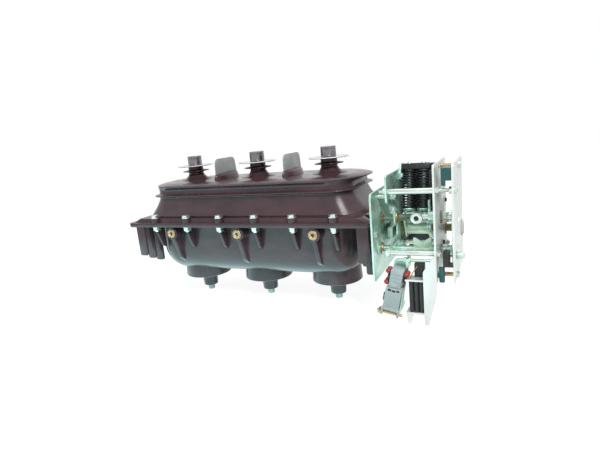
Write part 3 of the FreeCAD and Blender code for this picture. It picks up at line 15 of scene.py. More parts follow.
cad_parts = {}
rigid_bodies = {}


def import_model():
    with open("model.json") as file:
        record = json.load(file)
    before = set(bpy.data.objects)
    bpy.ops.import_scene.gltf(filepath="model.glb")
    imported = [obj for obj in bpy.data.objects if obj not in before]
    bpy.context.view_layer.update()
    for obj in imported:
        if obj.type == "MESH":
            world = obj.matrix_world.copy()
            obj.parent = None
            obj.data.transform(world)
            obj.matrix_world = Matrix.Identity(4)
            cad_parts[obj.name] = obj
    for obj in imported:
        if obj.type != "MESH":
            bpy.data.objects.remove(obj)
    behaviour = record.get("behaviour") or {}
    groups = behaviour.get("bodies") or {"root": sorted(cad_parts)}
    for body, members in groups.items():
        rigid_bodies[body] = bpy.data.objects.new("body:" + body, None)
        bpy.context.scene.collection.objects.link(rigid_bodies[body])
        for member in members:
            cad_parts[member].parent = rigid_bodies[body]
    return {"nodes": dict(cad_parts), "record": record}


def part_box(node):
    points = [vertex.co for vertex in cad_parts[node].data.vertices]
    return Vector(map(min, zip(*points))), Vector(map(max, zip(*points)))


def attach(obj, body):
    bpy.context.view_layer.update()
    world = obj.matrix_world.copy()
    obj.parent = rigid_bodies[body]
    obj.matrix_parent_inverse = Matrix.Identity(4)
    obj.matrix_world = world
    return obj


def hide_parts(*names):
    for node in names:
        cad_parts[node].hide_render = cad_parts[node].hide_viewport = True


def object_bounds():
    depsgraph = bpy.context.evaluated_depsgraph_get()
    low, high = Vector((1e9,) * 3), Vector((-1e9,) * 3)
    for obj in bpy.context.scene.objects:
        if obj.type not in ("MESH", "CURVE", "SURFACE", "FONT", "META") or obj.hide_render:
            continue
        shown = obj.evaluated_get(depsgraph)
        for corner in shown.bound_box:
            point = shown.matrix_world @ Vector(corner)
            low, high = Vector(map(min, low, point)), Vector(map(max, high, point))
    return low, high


bl_info = {
    "name": "Switch disconnector looks",
    "version": (1, 0, 0),
    "blender": (4, 5, 0),
    "location": "View3D > Sidebar > Switch",
    "description": "Builds the tank, the mechanism and the finishes of a switch disconnector",
    "category": "Object",
}

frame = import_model()
CAD_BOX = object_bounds()
NODES = frame["nodes"]
MM = 0.001
ROOT = "tank_and_frame"
SMOOTH_ANGLE = radians(32)
SHARP_ANGLE = radians(40)
BODY_OF = {node: body for body, nodes in frame["record"]["behaviour"]["bodies"].items() for node in nodes}


def size(text, millimetres):
    return bpy.props.FloatProperty(name=text, default=millimetres * MM, unit="LENGTH", precision=4)


def setting(text, value, **kind):
    return bpy.props.FloatProperty(name=text, default=value, **kind)


def colour(text, value):
    return bpy.props.FloatVectorProperty(name=text, default=value, size=3, min=0.0, max=1.0, subtype="COLOR")


class TankSizes(bpy.types.PropertyGroup):
    """Sizes of the cast tank and of what stands on it."""
    phase_pitch: size("Distance between phases", 210.0)
    flange_x: size("Half length of the flange", 355.0)
    flange_y: size("Half width of the flange", 155.0)
    flange_r: size("Corner radius of the flange", 14.0)
    lip_z: size("Thickness of the flange's upper lip", 3.4)
    deck_z: size("Height of the flange's deck", 13.0)
    deck_x: size("Half length of the deck", 328.0)
    deck_y: size("Half width of the deck", 140.0)
    boss_z: size("Height of the bolt bosses", 15.5)
    boss_r: size("Radius of the bolt bosses", 11.5)
    lower_t: size("Thickness of the lower flange", 8.5)
    bolt_y: size("Distance of the bolts from the middle", 142.0)
    hole_x: size("Corner holes from the middle, along the phases", 340.0)
    hole_y: size("Corner holes from the middle, across the phases", 105.0)
    wall_x: size("Half length of the upper wall", 290.0)
    wall_y: size("Half width of the upper wall", 112.0)
    wall_r: size("Corner radius of the upper wall", 54.0)
    wall_t: size("Thickness of the cast walls", 9.0)
    end_flare: size("Spread of the wall's foot at the ends", 38.0)
    side_flare: size("Spread of the wall's foot at the sides", 15.0)
    flare_z: size("Height of the flared foot", 55.0)
    roof_z: size("Height of the flat of the roof", 104.0)
    low_rim_z: size("Height of the lower rain rim", 71.0)
    low_rim_x: size("Half length of the lower rain rim", 304.0)
    low_rim_y: size("Half width of the lower rain rim", 122.0)
    top_rim_z: size("Height of the upper rain rim", 96.5)
    top_rim_x: size("Half length of the upper rain rim", 318.0)
    top_rim_y: size("Half width of the upper rain rim", 124.0)
    shed_r: size("Radius of the small bushing shed", 38.0)
    shed_z: size("Height of the small bushing shed", 129.0)
    neck_r: size("Radius of the bushing neck", 21.5)
    neck_z: size("Height of the bushing's top", 143.0)
    disc_r: size("Radius of the field disc", 52.5)
    cap_r: size("Radius of the upper terminal", 20.0)
    cap_z: size("Height of the upper terminal", 172.0)
    trough_x: size("Half length of the lower housing", 306.0)
    trough_y: size("Half width of the lower housing", 118.0)
    trough_r: size("Radius of the trough's corners and bottom", 78.0)
    trough_z: size("Height of the trough's bottom", -152.0)
    cup_r: size("Radius of a lower cup", 68.0)
    cup_z: size("Height of a lower cup's rim", -182.0)
    stem_r: size("Radius of a lower bushing's stem", 20.0)
    stem_z: size("Height of a lower bushing's end", -222.0)
    shaft_z: size("Height of the main shaft", -40.0)


class FastenerSizes(bpy.types.PropertyGroup):
    """Sizes of bolts, nuts, springs and threads."""
    flange_hex: size("Width across flats of the flange bolts", 19.0)
    flange_head: size("Height of the flange bolts' heads", 8.0)
    flange_nut: size("Height of the flange nuts", 10.0)
    washer_r: size("Radius of the flange washers", 11.4)
    plate_hex: size("Width across flats of the plate nuts", 13.0)
    plate_nut: size("Height of the plate nuts", 6.0)
    spring_r: size("Mean radius of the main springs", 13.6)
    wire_r: size("Wire radius of the main springs", 2.3)
    spring_turns: setting("Turns of a main spring", 16.0)


class FinishColours(bpy.types.PropertyGroup):
    """Colours of the finishes, in linear light."""
    resin: colour("Cast resin of the tank", (0.100, 0.052, 0.062))
    resin_dark: colour("Darker flow marks in the resin", (0.054, 0.032, 0.039))
    zinc: colour("Clear zinc plate", (0.53, 0.75, 0.66))
    zinc_tint: colour("Passivation bloom on zinc", (0.49, 0.67, 0.58))
    bright: colour("Bright zinc of the fasteners", (0.66, 0.74, 0.69))
    olive: colour("Olive passivation", (0.58, 0.74, 0.60))
    brass: colour("Turned brass", (0.50, 0.35, 0.21))
    barrier: colour("Barrier sheet", (0.42, 0.44, 0.43))
    grey: colour("Auxiliary switch bodies", (0.53, 0.61, 0.62))
    red: colour("Auxiliary terminals", (0.50, 0.035, 0.03))
    black: colour("Coil and switch bodies", (0.018, 0.020, 0.022))
    teal: colour("Buffer and upper switch", (0.02, 0.13, 0.13))


class StageSettings(bpy.types.PropertyGroup):
    """Camera and floor."""
    lens: setting("Focal length in millimetres", 27.154)
    azimuth: setting("Turn of the view from +Y", radians(24.94), subtype="ANGLE")
    elevation: setting("How far the view looks down", radians(11.71), subtype="ANGLE")
    roll: setting("Tilt of the picture", radians(5.26), subtype="ANGLE")
    place: bpy.props.FloatVectorProperty(name="Place of the camera", size=3, subtype="TRANSLATION",
                                         unit="LENGTH", default=(0.6238, -1.102, 0.2164))
    floor_drop: size("Gap between the lowest lug and the floor", 2.0)
    floor_reach: size("Half length of the floor", 9000.0)
    floor_tone: colour("Colour of the floor under the lamps", (0.5, 0.51, 0.505))
    floor_glow: setting("White that the eye sees on the floor", 0.885)


# Meshes. Every function here takes millimetres.

def link(obj):
    bpy.context.scene.collection.objects.link(obj)
    return obj


def dress(obj, material):
    obj.data.materials.clear()
    obj.data.materials.append(material)


def mesh_of(name, bm):
    """Mesh with the shape of a bmesh, which is freed."""
    mesh = bpy.data.meshes.new(name)
    bm.to_mesh(mesh)
    bm.free()
    return mesh


def piece(name, bm, slot, replaces=(), body=ROOT):
    """Turn a bmesh into a finished piece that rides on a body."""
    mesh_piece(name, mesh_of(name, bm), slot, replaces, body)


def mesh_piece(name, mesh, slot, replaces=(), body=ROOT):
    """Put a mesh into the scene in the finish of its slot, smooth between its hard edges."""
    obj = link(bpy.data.objects.new(name, mesh))
    dress(obj, FINISHES[slot])
    mesh.polygons.foreach_set("use_smooth", [True] * len(mesh.polygons))
    mesh.set_sharp_from_angle(angle=SMOOTH_ANGLE)
    mesh.update()
    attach(obj, body)
    if replaces:
        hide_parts(*replaces)


def softened(points, radius, steps=3):
    """Open outline with its inner corners rounded."""
    result = [points[0]]
    for before, here, after in zip(points, points[1:], points[2:]):
        a = Vector(before) - Vector(here)
        b = Vector(after) - Vector(here)
        cut = min(radius, 0.45 * a.length, 0.45 * b.length)
        first = Vector(here) + a.normalized() * cut
        last = Vector(here) + b.normalized() * cut
        for i in range(steps + 1):
            t = i / steps
            result.append(tuple(first * (1 - t) ** 2 + Vector(here) * (2 * t * (1 - t)) + last * t ** 2))
    result.append(points[-1])
    return result


def frame_along(axis):
    """Matrix that turns +Z on to the axis."""
    return Vector(axis).to_track_quat("Z", "Y").to_matrix().to_4x4()


def arc(radius, start, sweep, steps, centre):
    """Points along an arc, with its angles in degrees."""
    angles = (radians(start + sweep * i / steps) for i in range(steps + 1))
    return [(centre[0] + radius * cos(a), centre[1] + radius * sin(a)) for a in angles]


def full_turn(count):
    """Angles of evenly spaced points round a circle."""
    return [2 * pi * i / count for i in range(count)]


def lathe(bm, profile, centre, axis=(0, 0, 1), segments=48, soft=0.0):
    """Closed turned shape of (radius, height) points, with corners rounded by soft."""
    turn = Matrix.Translation(Vector(centre) * MM) @ frame_along(axis)
    rings = []
    for radius, height in softened(profile, soft) if soft else profile:
        angles = full_turn(segments) if radius > 1e-4 else [0.0]
        rings.append([bm.verts.new(turn @ (Vector((radius * cos(a), radius * sin(a), height)) * MM))
                      for a in angles])
    if len(rings[0]) > 1:
        rings.append(rings[0])
    bridge_rings(bm, rings)


def rod_shape(bm, radius, low, high, centre, **how):
    """Plain round rod or disc between two heights."""
    lathe(bm, [(0.0, low), (radius, low), (radius, high), (0.0, high)], centre, **how)


def bridge_rings(bm, rings):
    """Faces between rings of the same count, or between a ring and a single point."""
    faces = []
    for low, high in zip(rings, rings[1:]):
        count = max(len(low), len(high))
        for i in range(count):
            j = (i + 1) % count
            corners = [low[i % len(low)], low[j % len(low)], high[j % len(high)], high[i % len(high)]]
            unique = [v for k, v in enumerate(corners) if v not in corners[:k]]
            if len(unique) > 2:
                faces.append(bm.faces.new(unique))
    return faces


def oblong(half_x, half_y, radius, z):
    """Rounded rectangle as a ring of points, anticlockwise from the front right corner."""
    points = []
    for sx, sy, start in ((1, -1, -90), (1, 1, 0), (-1, 1, 90), (-1, -1, 180)):
        points += arc(radius, start, 90, 12, (sx * (half_x - radius), sy * (half_y - radius)))
    return [(x, y, z) for x, y in points]


def inset_rings(outline, rows):
    """Rings inside an outline of half length, half width and radius; rows are (inset, height)."""
    half_x, half_y, radius = outline
    return [oblong(half_x - inset, half_y - inset, max(radius - inset, 0.4), z) for inset, z in rows]


def rings_between(near, far, rows):
    """Rings on the way from one outline to another; rows are (share of the way, height)."""
    return [oblong(*(a + (b - a) * share for a, b in zip(near, far)), z) for share, z in rows]


def stack(bm, rings):
    """Closed shell through rings of points, with a cap at each end."""
    made = [[bm.verts.new(Vector(p) * MM) for p in ring] for ring in rings]
    return bridge_rings(bm, made) + [bm.faces.new(reversed(made[0])), bm.faces.new(made[-1])]


def rounded(bm, edges, width, **how):
    """Round edges of a bmesh in two steps."""
    bmesh.ops.bevel(bm, geom=list(edges), offset=width * MM, segments=2, affect="EDGES", profile=0.5, **how)


def slab(bm, outline, direction, edge):
    """Prism of a flat outline, pushed along direction, with rounded edges."""
    faces = stack(bm, [[Vector(p) + Vector(direction) for p in outline], outline])
    bmesh.ops.recalc_face_normals(bm, faces=faces)
    if edge > 0:
        rounded(bm, {e for f in faces for e in f.edges}, edge)


def slab_x(bm, low, high, outline, edge):
    """Slab between two places along X, with an outline of (y, z) points."""
    slab(bm, [(low, y, z) for y, z in outline], (high - low, 0, 0), edge)


def box_shape(bm, x, y, z, edge):
    """Box with rounded edges; x, y and z are (low, high) pairs."""
    outline = [(x[0], y[0], z[0]), (x[1], y[0], z[0]), (x[1], y[1], z[0]), (x[0], y[1], z[0])]
    slab(bm, outline, (0, 0, z[1] - z[0]), edge)


def evaluated_mesh(obj):
    """Plain mesh of an object with its modifiers; the object is discarded."""
    mesh = bpy.data.meshes.new_from_object(obj.evaluated_get(bpy.context.evaluated_depsgraph_get()))
    discard(obj)
    return mesh


def discard(obj):
    """Remove an object and its mesh."""
    data = obj.data
    bpy.data.objects.remove(obj)
    bpy.data.meshes.remove(data)


def pierced(bm, radius, top, bottom):
    """Closed shell with the four corner holes cut through it."""
    s = tank()
    tool = bmesh.new()
    for x, y in ((-s.hole_x, -s.hole_y), (-s.hole_x, s.hole_y), (s.hole_x, -s.hole_y), (s.hole_x, s.hole_y)):
        rod_shape(tool, radius, bottom, top, (x, y, 0), segments=32)
    body, cutter = (link(bpy.data.objects.new(name, mesh_of(name, source)))
                    for name, source in (("body", bm), ("tool", tool)))
    cut = body.modifiers.new("Cut", "BOOLEAN")
    cut.operation = "DIFFERENCE"
    cut.solver = "EXACT"
    cut.object = cutter
    mesh = evaluated_mesh(body)
    discard(cutter)
    result = bmesh.new()
    result.from_mesh(mesh)
    bpy.data.meshes.remove(mesh)
    return result


def edged_copy(node, width):
    """Merged copy of a CAD node with its outer edges slightly rounded."""
    bm = bmesh.new()
    bm.from_mesh(NODES[node].data)
    bmesh.ops.remove_doubles(bm, verts=bm.verts, dist=0.01 * MM)
    bmesh.ops.dissolve_limit(bm, angle_limit=radians(1), verts=bm.verts, edges=bm.edges)
    sharp = [e for e in bm.edges
             if len(e.link_faces) == 2 and e.calc_face_angle() > SHARP_ANGLE and e.is_convex]
    rounded(bm, sharp, width, clamp_overlap=True)
    return bm


# Node trees

class Graph:
    """Node tree that is built from short calls."""

    def __init__(self, tree):
        self.nodes, self.links = tree.nodes, tree.links

    def feed(self, given, socket):
        """Link an output to a socket, or set the socket to a plain value."""
        if isinstance(given, bpy.types.NodeSocket):
            self.links.new(given, socket)
        else:
            socket.default_value = given

    def add(self, kind, result, **inputs):
        """Add a node, link or set its inputs, and give back one output."""
        node = self.nodes.new(kind)
        for key, given in inputs.items():
            name = key.replace("_", " ").lower()
            self.feed(given, next(s for s in node.inputs if s.name.lower() == name and s.enabled))
        return next(s for s in node.outputs if s.name == result and s.enabled)

    def math(self, operation, first, second):
        node = self.nodes.new("ShaderNodeMath")
        node.operation = operation
        self.feed(first, node.inputs[0])
        self.feed(second, node.inputs[1])
        return node.outputs[0]

    def seen_directly(self):
        """One for camera, glossy and transmission rays, and nought for the rays that carry light."""
        rays = self.nodes.new("ShaderNodeLightPath").outputs
        seen = self.math("MAXIMUM", rays["Is Camera Ray"], rays["Is Glossy Ray"])
        return self.math("MAXIMUM", seen, rays["Is Transmission Ray"])


class Tree(Graph):
    """Geometry node tree with named inputs, of which those of kind Length take millimetres."""

    def __init__(self, name, **inputs):
        self.group = bpy.data.node_groups.new(name, "GeometryNodeTree")
        super().__init__(self.group)
        sockets = self.group.interface
        for way in ("INPUT", "OUTPUT"):
            sockets.new_socket(name="Geometry", in_out=way, socket_type="NodeSocketGeometry")
        self.ids = {}
        for key, kind in inputs.items():
            is_length = kind == "Length"
            socket = sockets.new_socket(name=key.replace("_", " "), in_out="INPUT",
                                        socket_type="NodeSocket" + ("Float" if is_length else kind))
            self.ids[key] = (socket.identifier, is_length)
        self.value = self.nodes.new("NodeGroupInput").outputs
        self.end = self.nodes.new("NodeGroupOutput")

    def join(self, *parts):
        node = self.nodes.new("GeometryNodeJoinGeometry")
        for part in parts:
            self.links.new(part, node.inputs[0])
        return node.outputs[0]

    def close(self, instance, **how):
        """Put the instance on the points, realize it, give it its material and end the tree."""
        placed = self.add("GeometryNodeInstanceOnPoints", "Instances", Points=self.value["Geometry"],
                          Instance=instance, **how)
        plain = self.add("GeometryNodeRealizeInstances", "Geometry", Geometry=placed)
        painted = self.add("GeometryNodeSetMaterial", "Geometry", Geometry=plain,
                           Material=self.value["Material"])
        self.links.new(painted, self.end.inputs[0])
        return self

    def grow(self, name, places, slot, **values):
        """Run the tree on a cloud of points and give back the plain mesh, in the finish of a slot."""
        cloud = bpy.data.meshes.new(name)
        cloud.from_pydata([tuple(value * MM for value in p) for p in places], [], [])
        maker = link(bpy.data.objects.new(name + "_maker", cloud))
        modifier = maker.modifiers.new("Grow", "NODES")
        modifier.node_group = self.group
        for key, given in {**values, "Material": FINISHES[slot]}.items():
            identifier, is_length = self.ids[key]
            modifier[identifier] = given * MM if is_length else given
        mesh = evaluated_mesh(maker)
        if len(mesh.polygons) == 0:
            raise RuntimeError(name + " grew no faces")
        return mesh


def fastener_tree():
    """Chamfered hexagon with a washer under it and a shank end, on each point."""
    tree = Tree("Hexagon fasteners", Width="Length", Height="Length", Washer_radius="Length",
                Washer_height="Length", Stub_radius="Length", Stub_height="Length", Turn="Vector",
                Material="Material")

    def solid(sides, low, high, depth, z):
        shape = tree.add("GeometryNodeMeshCone", "Mesh", Vertices=sides, Radius_Bottom=low, Radius_Top=high,
                         Depth=depth)
        offset = tree.add("ShaderNodeCombineXYZ", "Vector", Z=z)
        return tree.add("GeometryNodeTransform", "Geometry", Geometry=shape, Translation=offset)

    corner = tree.math("DIVIDE", tree.value["Width"], sqrt(3))
    height, washer_h = tree.value["Height"], tree.value["Washer height"]
    chamfer = tree.math("MULTIPLY", height, 0.12)
    straight = tree.math("SUBTRACT", height, chamfer)
    washer_r, stub_r = tree.value["Washer radius"], tree.value["Stub radius"]
    body = solid(6, corner, corner, straight, washer_h)
    crown = solid(6, corner, tree.math("MULTIPLY", corner, 0.88), chamfer,
                  tree.math("ADD", washer_h, straight))
    washer = solid(32, washer_r, washer_r, washer_h, 0.0)
    stub = solid(24, stub_r, tree.math("MULTIPLY", stub_r, 0.9),
                 tree.math("ADD", height, tree.value["Stub height"]), washer_h)
    return tree.close(tree.join(body, crown, washer, stub), Rotation=tree.value["Turn"])


def copies_tree():
    """A template piece on each point."""
    tree = Tree("Copies on points", Template="Object", Turn="Vector", Material="Material")
    template = tree.add("GeometryNodeObjectInfo", "Geometry", Object=tree.value["Template"])
    return tree.close(template, Rotation=tree.value["Turn"])


def coil_tree():
    """Round wire coil with closed end turns, along +Z from each point."""
    tree = Tree("Wire coil", Coil_radius="Length", Wire_radius="Length", Turns="Float", Length="Length",
                Closed_share="Float", Steps="Int", Sides="Int", Material="Material")
    spiral = tree.add("GeometryNodeCurveSpiral", "Curve", Resolution=tree.value["Steps"],
                      Rotations=tree.value["Turns"], Start_Radius=tree.value["Coil radius"],
                      End_Radius=tree.value["Coil radius"], Height=0.0)
    closed = tree.value["Closed share"]
    climb = tree.add("ShaderNodeMapRange", "Result", Value=tree.add("GeometryNodeSplineParameter", "Factor"),
                     From_Min=closed, From_Max=tree.math("SUBTRACT", 1.0, closed), To_Min=0.0,
                     To_Max=tree.value["Length"])
    rise = tree.add("ShaderNodeCombineXYZ", "Vector", Z=climb)
    path = tree.add("GeometryNodeSetPosition", "Geometry", Geometry=spiral, Offset=rise)
    wire = tree.add("GeometryNodeCurvePrimitiveCircle", "Curve", Resolution=tree.value["Sides"],
                    Radius=tree.value["Wire radius"])
    return tree.close(tree.add("GeometryNodeCurveToMesh", "Mesh", Curve=path, Profile_Curve=wire,
                               Fill_Caps=True))


def hexagons(tree, name, places, width, height, washer, stub, turn, slot="bright_zinc"):
    """Hexagons on points; washer and stub are (radius, height), and the height takes in the washer."""
    return tree.grow(name, places, slot, Width=width, Height=height - washer[1], Washer_radius=washer[0],
                     Washer_height=washer[1], Stub_radius=stub[0], Stub_height=stub[1], Turn=turn)


def joined_piece(name, meshes, slot, replaces=()):
    """One piece from several meshes, which are removed."""
    bm = bmesh.new()
    for mesh in meshes:
        bm.from_mesh(mesh)
        bpy.data.meshes.remove(mesh)
    piece(name, bm, slot, replaces)


def both_sides(name, bm, stations, slot, replaces=()):
    """Piece of copies of a bmesh at stations along the front of the tank and, turned about, its back."""
    template = link(bpy.data.objects.new(name + "_template", mesh_of(name + "_template", bm)))
    tree = copies_tree()
    made = [tree.grow(name, [(x, 0, 0) for x in stations], slot, Template=template, Turn=(0.0, 0.0, turn))
            for turn in (0.0, pi)]
    discard(template)
    joined_piece(name, made, slot, replaces)


# Materials

class Paint(Graph):
    """Material with a principled shader and Object coordinates."""

    def __init__(self, name, **shader):
        self.material = bpy.data.materials.new(name)
        self.material.use_nodes = True
        super().__init__(self.material.node_tree)
        self.shader = self.nodes["Principled BSDF"]
        self.place = self.nodes.new("ShaderNodeTexCoord").outputs["Object"]
        for key, given in shader.items():
            self.set(key.replace("_", " "), given)

    def noise(self, scale, detail, roughness=0.5, stretch=None):
        place = self.place
        if stretch:
            place = self.add("ShaderNodeMapping", "Vector", Vector=place, Scale=stretch)
        return self.add("ShaderNodeTexNoise", "Fac", Vector=place, Scale=scale, Detail=detail,
                        Roughness=roughness)

    def between(self, factor, low, high, from_low=0.35, from_high=0.65):
        """Stretch the middle of a noise over low to high."""
        return self.add("ShaderNodeMapRange", "Result", Value=factor, From_Min=from_low, From_Max=from_high,
                        To_Min=low, To_Max=high)

    def blend(self, factor, first, second):
        """Mix two colours, of which the first may be an output."""
        node = self.nodes.new("ShaderNodeMix")
        node.data_type = "RGBA"
        self.feed(factor, node.inputs[0])
        self.feed(first if isinstance(first, bpy.types.NodeSocket) else (*first, 1.0), node.inputs[6])
        self.feed((*second, 1.0), node.inputs[7])
        return node.outputs[2]

    def set(self, name, given):
        self.feed(given, self.shader.inputs[name])


def shade(value, factor):
    return tuple(min(1.0, c * factor) for c in value)


def surface(name, tones, cloud, rough, grain, spots=None, **shader):
    """Material of two clouded tones with patches of roughness, a grain and perhaps spots of a third tone."""
    paint = Paint(name, **shader)
    base = paint.blend(paint.between(paint.noise(*cloud), 0.0, 1.0), *tones)
    if spots:
        noise, span, tone = spots
        base = paint.blend(paint.between(paint.noise(*noise), *span), base, tone)
    paint.set("Base Color", base)
    noise, low, high = rough
    paint.set("Roughness", paint.between(paint.noise(*noise), low, high))
    noise, height, strength = grain
    paint.set("Normal", paint.add("ShaderNodeBump", "Normal", Height=paint.noise(*noise), Distance=height,
                                  Strength=strength))
    return paint.material


def resin_paint(colours):
    """Glossy cast resin with flow marks, fine specks and a faint ripple."""
    return surface("Cast_resin", (colours.resin_dark, colours.resin), (9.0, 4.0, 0.6, (1.0, 1.0, 2.4)),
                   ((40.0, 4.0), 0.18, 0.28), ((28.0, 2.0), 0.0012, 0.25),
                   ((900.0, 2.0), (0.0, 0.35, 0.55, 0.75), shade(colours.resin, 1.9)),
                   Roughness=0.2, IOR=1.5, Specular_IOR_Level=0.36)


def zinc_paint(name, base, tint, roughness=0.34, metallic=0.75, scale=14.0):
    """Plated steel: cloudy passivation, rolling grain and small stains."""
    return surface(name, (base, tint), (scale, 5.0, 0.6),
                   ((scale * 3.0, 4.0), roughness - 0.08, roughness + 0.14),
                   ((420.0, 2.0, 0.5, (1.0, 1.0, 0.08)), 0.0001, 0.2),
                   ((scale * 6.0, 3.0), (0.0, 0.25, 0.55, 0.8), shade(base, 0.7)),
                   Metallic=metallic, Roughness=roughness)


def turned_paint(name, base, roughness, metallic=1.0):
    """Turned metal with fine rings of tool marks and slight tarnish."""
    return surface(name, (shade(base, 0.72), base), (60.0, 4.0),
                   ((150.0, 3.0), roughness - 0.06, roughness + 0.12),
                   ((1500.0, 1.0, 0.4, (0.06, 0.06, 1.0)), 0.00008, 0.2),
                   Metallic=metallic, Roughness=roughness)


def moulded_paint(name, base, roughness, contrast=0.82, grain_scale=1300.0):
    """Moulded plastic: fine spark texture and slight shade differences."""
    return surface(name, (shade(base, contrast), base), (35.0, 3.0),
                   ((90.0, 3.0), roughness - 0.07, roughness + 0.09), ((grain_scale, 2.0), 0.0002, 0.35),
                   Roughness=roughness)


def make_finishes(colours):
    """Every finish by the name of its slot in the record."""
    zinc, bright, olive = colours.zinc, colours.bright, colours.olive
    return {
        "epoxy": resin_paint(colours),
        "barrier_plastic": moulded_paint("Barrier_sheet", colours.barrier, 0.36),
        "disc_aluminium": turned_paint("Spun_aluminium", (0.80, 0.82, 0.82), 0.28),
        "dark_terminal": turned_paint("Tarnished_silver", (0.25, 0.23, 0.25), 0.2),
        "terminal_silver": turned_paint("Silvered_stud", (0.22, 0.24, 0.24), 0.3),
        "bright_zinc": zinc_paint("Bright_zinc", bright, shade(bright, 0.85), 0.24, 0.9, 12.0),
        "zinc_steel": zinc_paint("Clear_zinc", zinc, colours.zinc_tint),
        "yoke_zinc": zinc_paint("Olive_zinc", olive, shade(olive, 1.3), 0.36, 0.6, 40.0),
        # white_steel is the clear zinc made paler for the front and inner plates, which face the lamps:
        # painted light, since these plates are the same zinc as the others.
        "white_steel": zinc_paint("Zinc_painted_lit", (0.84, 0.88, 0.85), (0.80, 0.84, 0.81), 0.4, 0.5, 20.0),
        "relief_steel": zinc_paint("Relief_sheet", (0.62, 0.64, 0.64), (0.55, 0.58, 0.58), 0.3, 0.95, 30.0),
        "brass": turned_paint("Turned_brass", colours.brass, 0.3),
        "copper": turned_paint("Silvered_copper", (0.68, 0.42, 0.30), 0.32),
        "spring_steel": turned_paint("Oiled_spring_steel", (0.035, 0.042, 0.045), 0.34, 0.6),
        "shaft_resin": moulded_paint("Glass_filled_resin", (0.42, 0.34, 0.20), 0.45, 0.75, 300.0),
        "bearing_plastic": moulded_paint("Bearing_plastic", (0.62, 0.60, 0.54), 0.4),
        "indicator_plastic": moulded_paint("Indicator_plastic", (0.70, 0.71, 0.69), 0.38),
        "grey_plastic": moulded_paint("Grey_moulding", colours.grey, 0.42, 0.9),
        "red_plastic": moulded_paint("Red_moulding", colours.red, 0.32, 0.8),
        "black_plastic": moulded_paint("Black_moulding", colours.black, 0.38, 0.7),
        "teal_plastic": moulded_paint("Teal_moulding", colours.teal, 0.3, 0.7),
        "seal_rubber": moulded_paint("Seal_rubber", (0.02, 0.02, 0.02), 0.6, 0.8),
    }


FINISHES = {}

# Edge widths in millimetres and the nodes that get them
EDGES = {
    # rear_screen is a dark sheet put behind the main springs to stand for the shade there: painted shade.
    0.5: ("mounting_plate", "bearing_plate", "inner_plate", "front_plate", "rear_screen", "aux_bracket",
          "coil_frame", "interlock_slide", "drive_link", "relief_disc"),
    0.8: ("spring_bracket", "drive_lever", "main_crank", "spring_yoke", "locking_catch", "position_indicator",
          "relief_ring", "spring_guide", "spring_trunnion", "switch_shaft", "earth_shaft", "shaft_bushes",
          "filling_valve", "aux_rotor"),
    1.2: ("interlock_switch_upper", "interlock_switch_lower", "buffer"),
}

# Directions of turned pieces
ALONG = (1, 0, 0)
FORWARD = (0, -1, 0)

# Faces of the plates along X, near and far, in millimetres
MOUNTING = (356, 360)
BEARING = (390, 394)
INNER = (490, 494)
FRONT = (526, 530)

# Places of the rods and screws on the plates, in millimetres: Y, Z and the far end along X of a long rod
LONG_RODS = ((-150, 72, 538), (-150, -63, 502), (9, -79.5, 502))
SHORT_RODS = ((95, 58), (95, -74), (-105, 54), (-62, -83))
SPACERS = ((-128, -114), (-60, 113), (6, -112))
DARK_SCREWS = ((-132, 67.5), (1, 27), (-51, -63))

# Other places and radii in millimetres
CORNER_HOLE = 6.5
INSERT_Z = -27
INSERT_FACE = -149
CRANK_X = 441
AUX_X = 412
AUX_FACE = -128


def in_mm(group):
    """Lengths of a property group in millimetres, by name."""
    rows = [row for row in group.bl_rna.properties if getattr(row, "unit", "") == "LENGTH"]
    return SimpleNamespace(**{row.identifier: getattr(group, row.identifier) / MM for row in rows})


def tank():
    return in_mm(bpy.context.scene.tank_sizes)


def phase_places():
    pitch = tank().phase_pitch
    return (-pitch, 0.0, pitch)


def bolt_stations():
    return [(i - 2.5) * tank().phase_pitch / 2 for i in range(6)]


def bolt_places(z):
    return [(x, side * tank().bolt_y, z) for x in bolt_stations() for side in (-1, 1)]


class SWITCH_OT_finishes(bpy.types.Operator):
    """Make the finishes and put them on every node of the CAD model"""
    bl_idname = "switchgear.finishes"
    bl_label = "Finishes"

    def execute(self, context):
        FINISHES.update(make_finishes(context.scene.finish_colours))
        for row in frame["record"]["subparts"]:
            dress(NODES[row["node"]], FINISHES[row["material_slot"]])
        return {"FINISHED"}


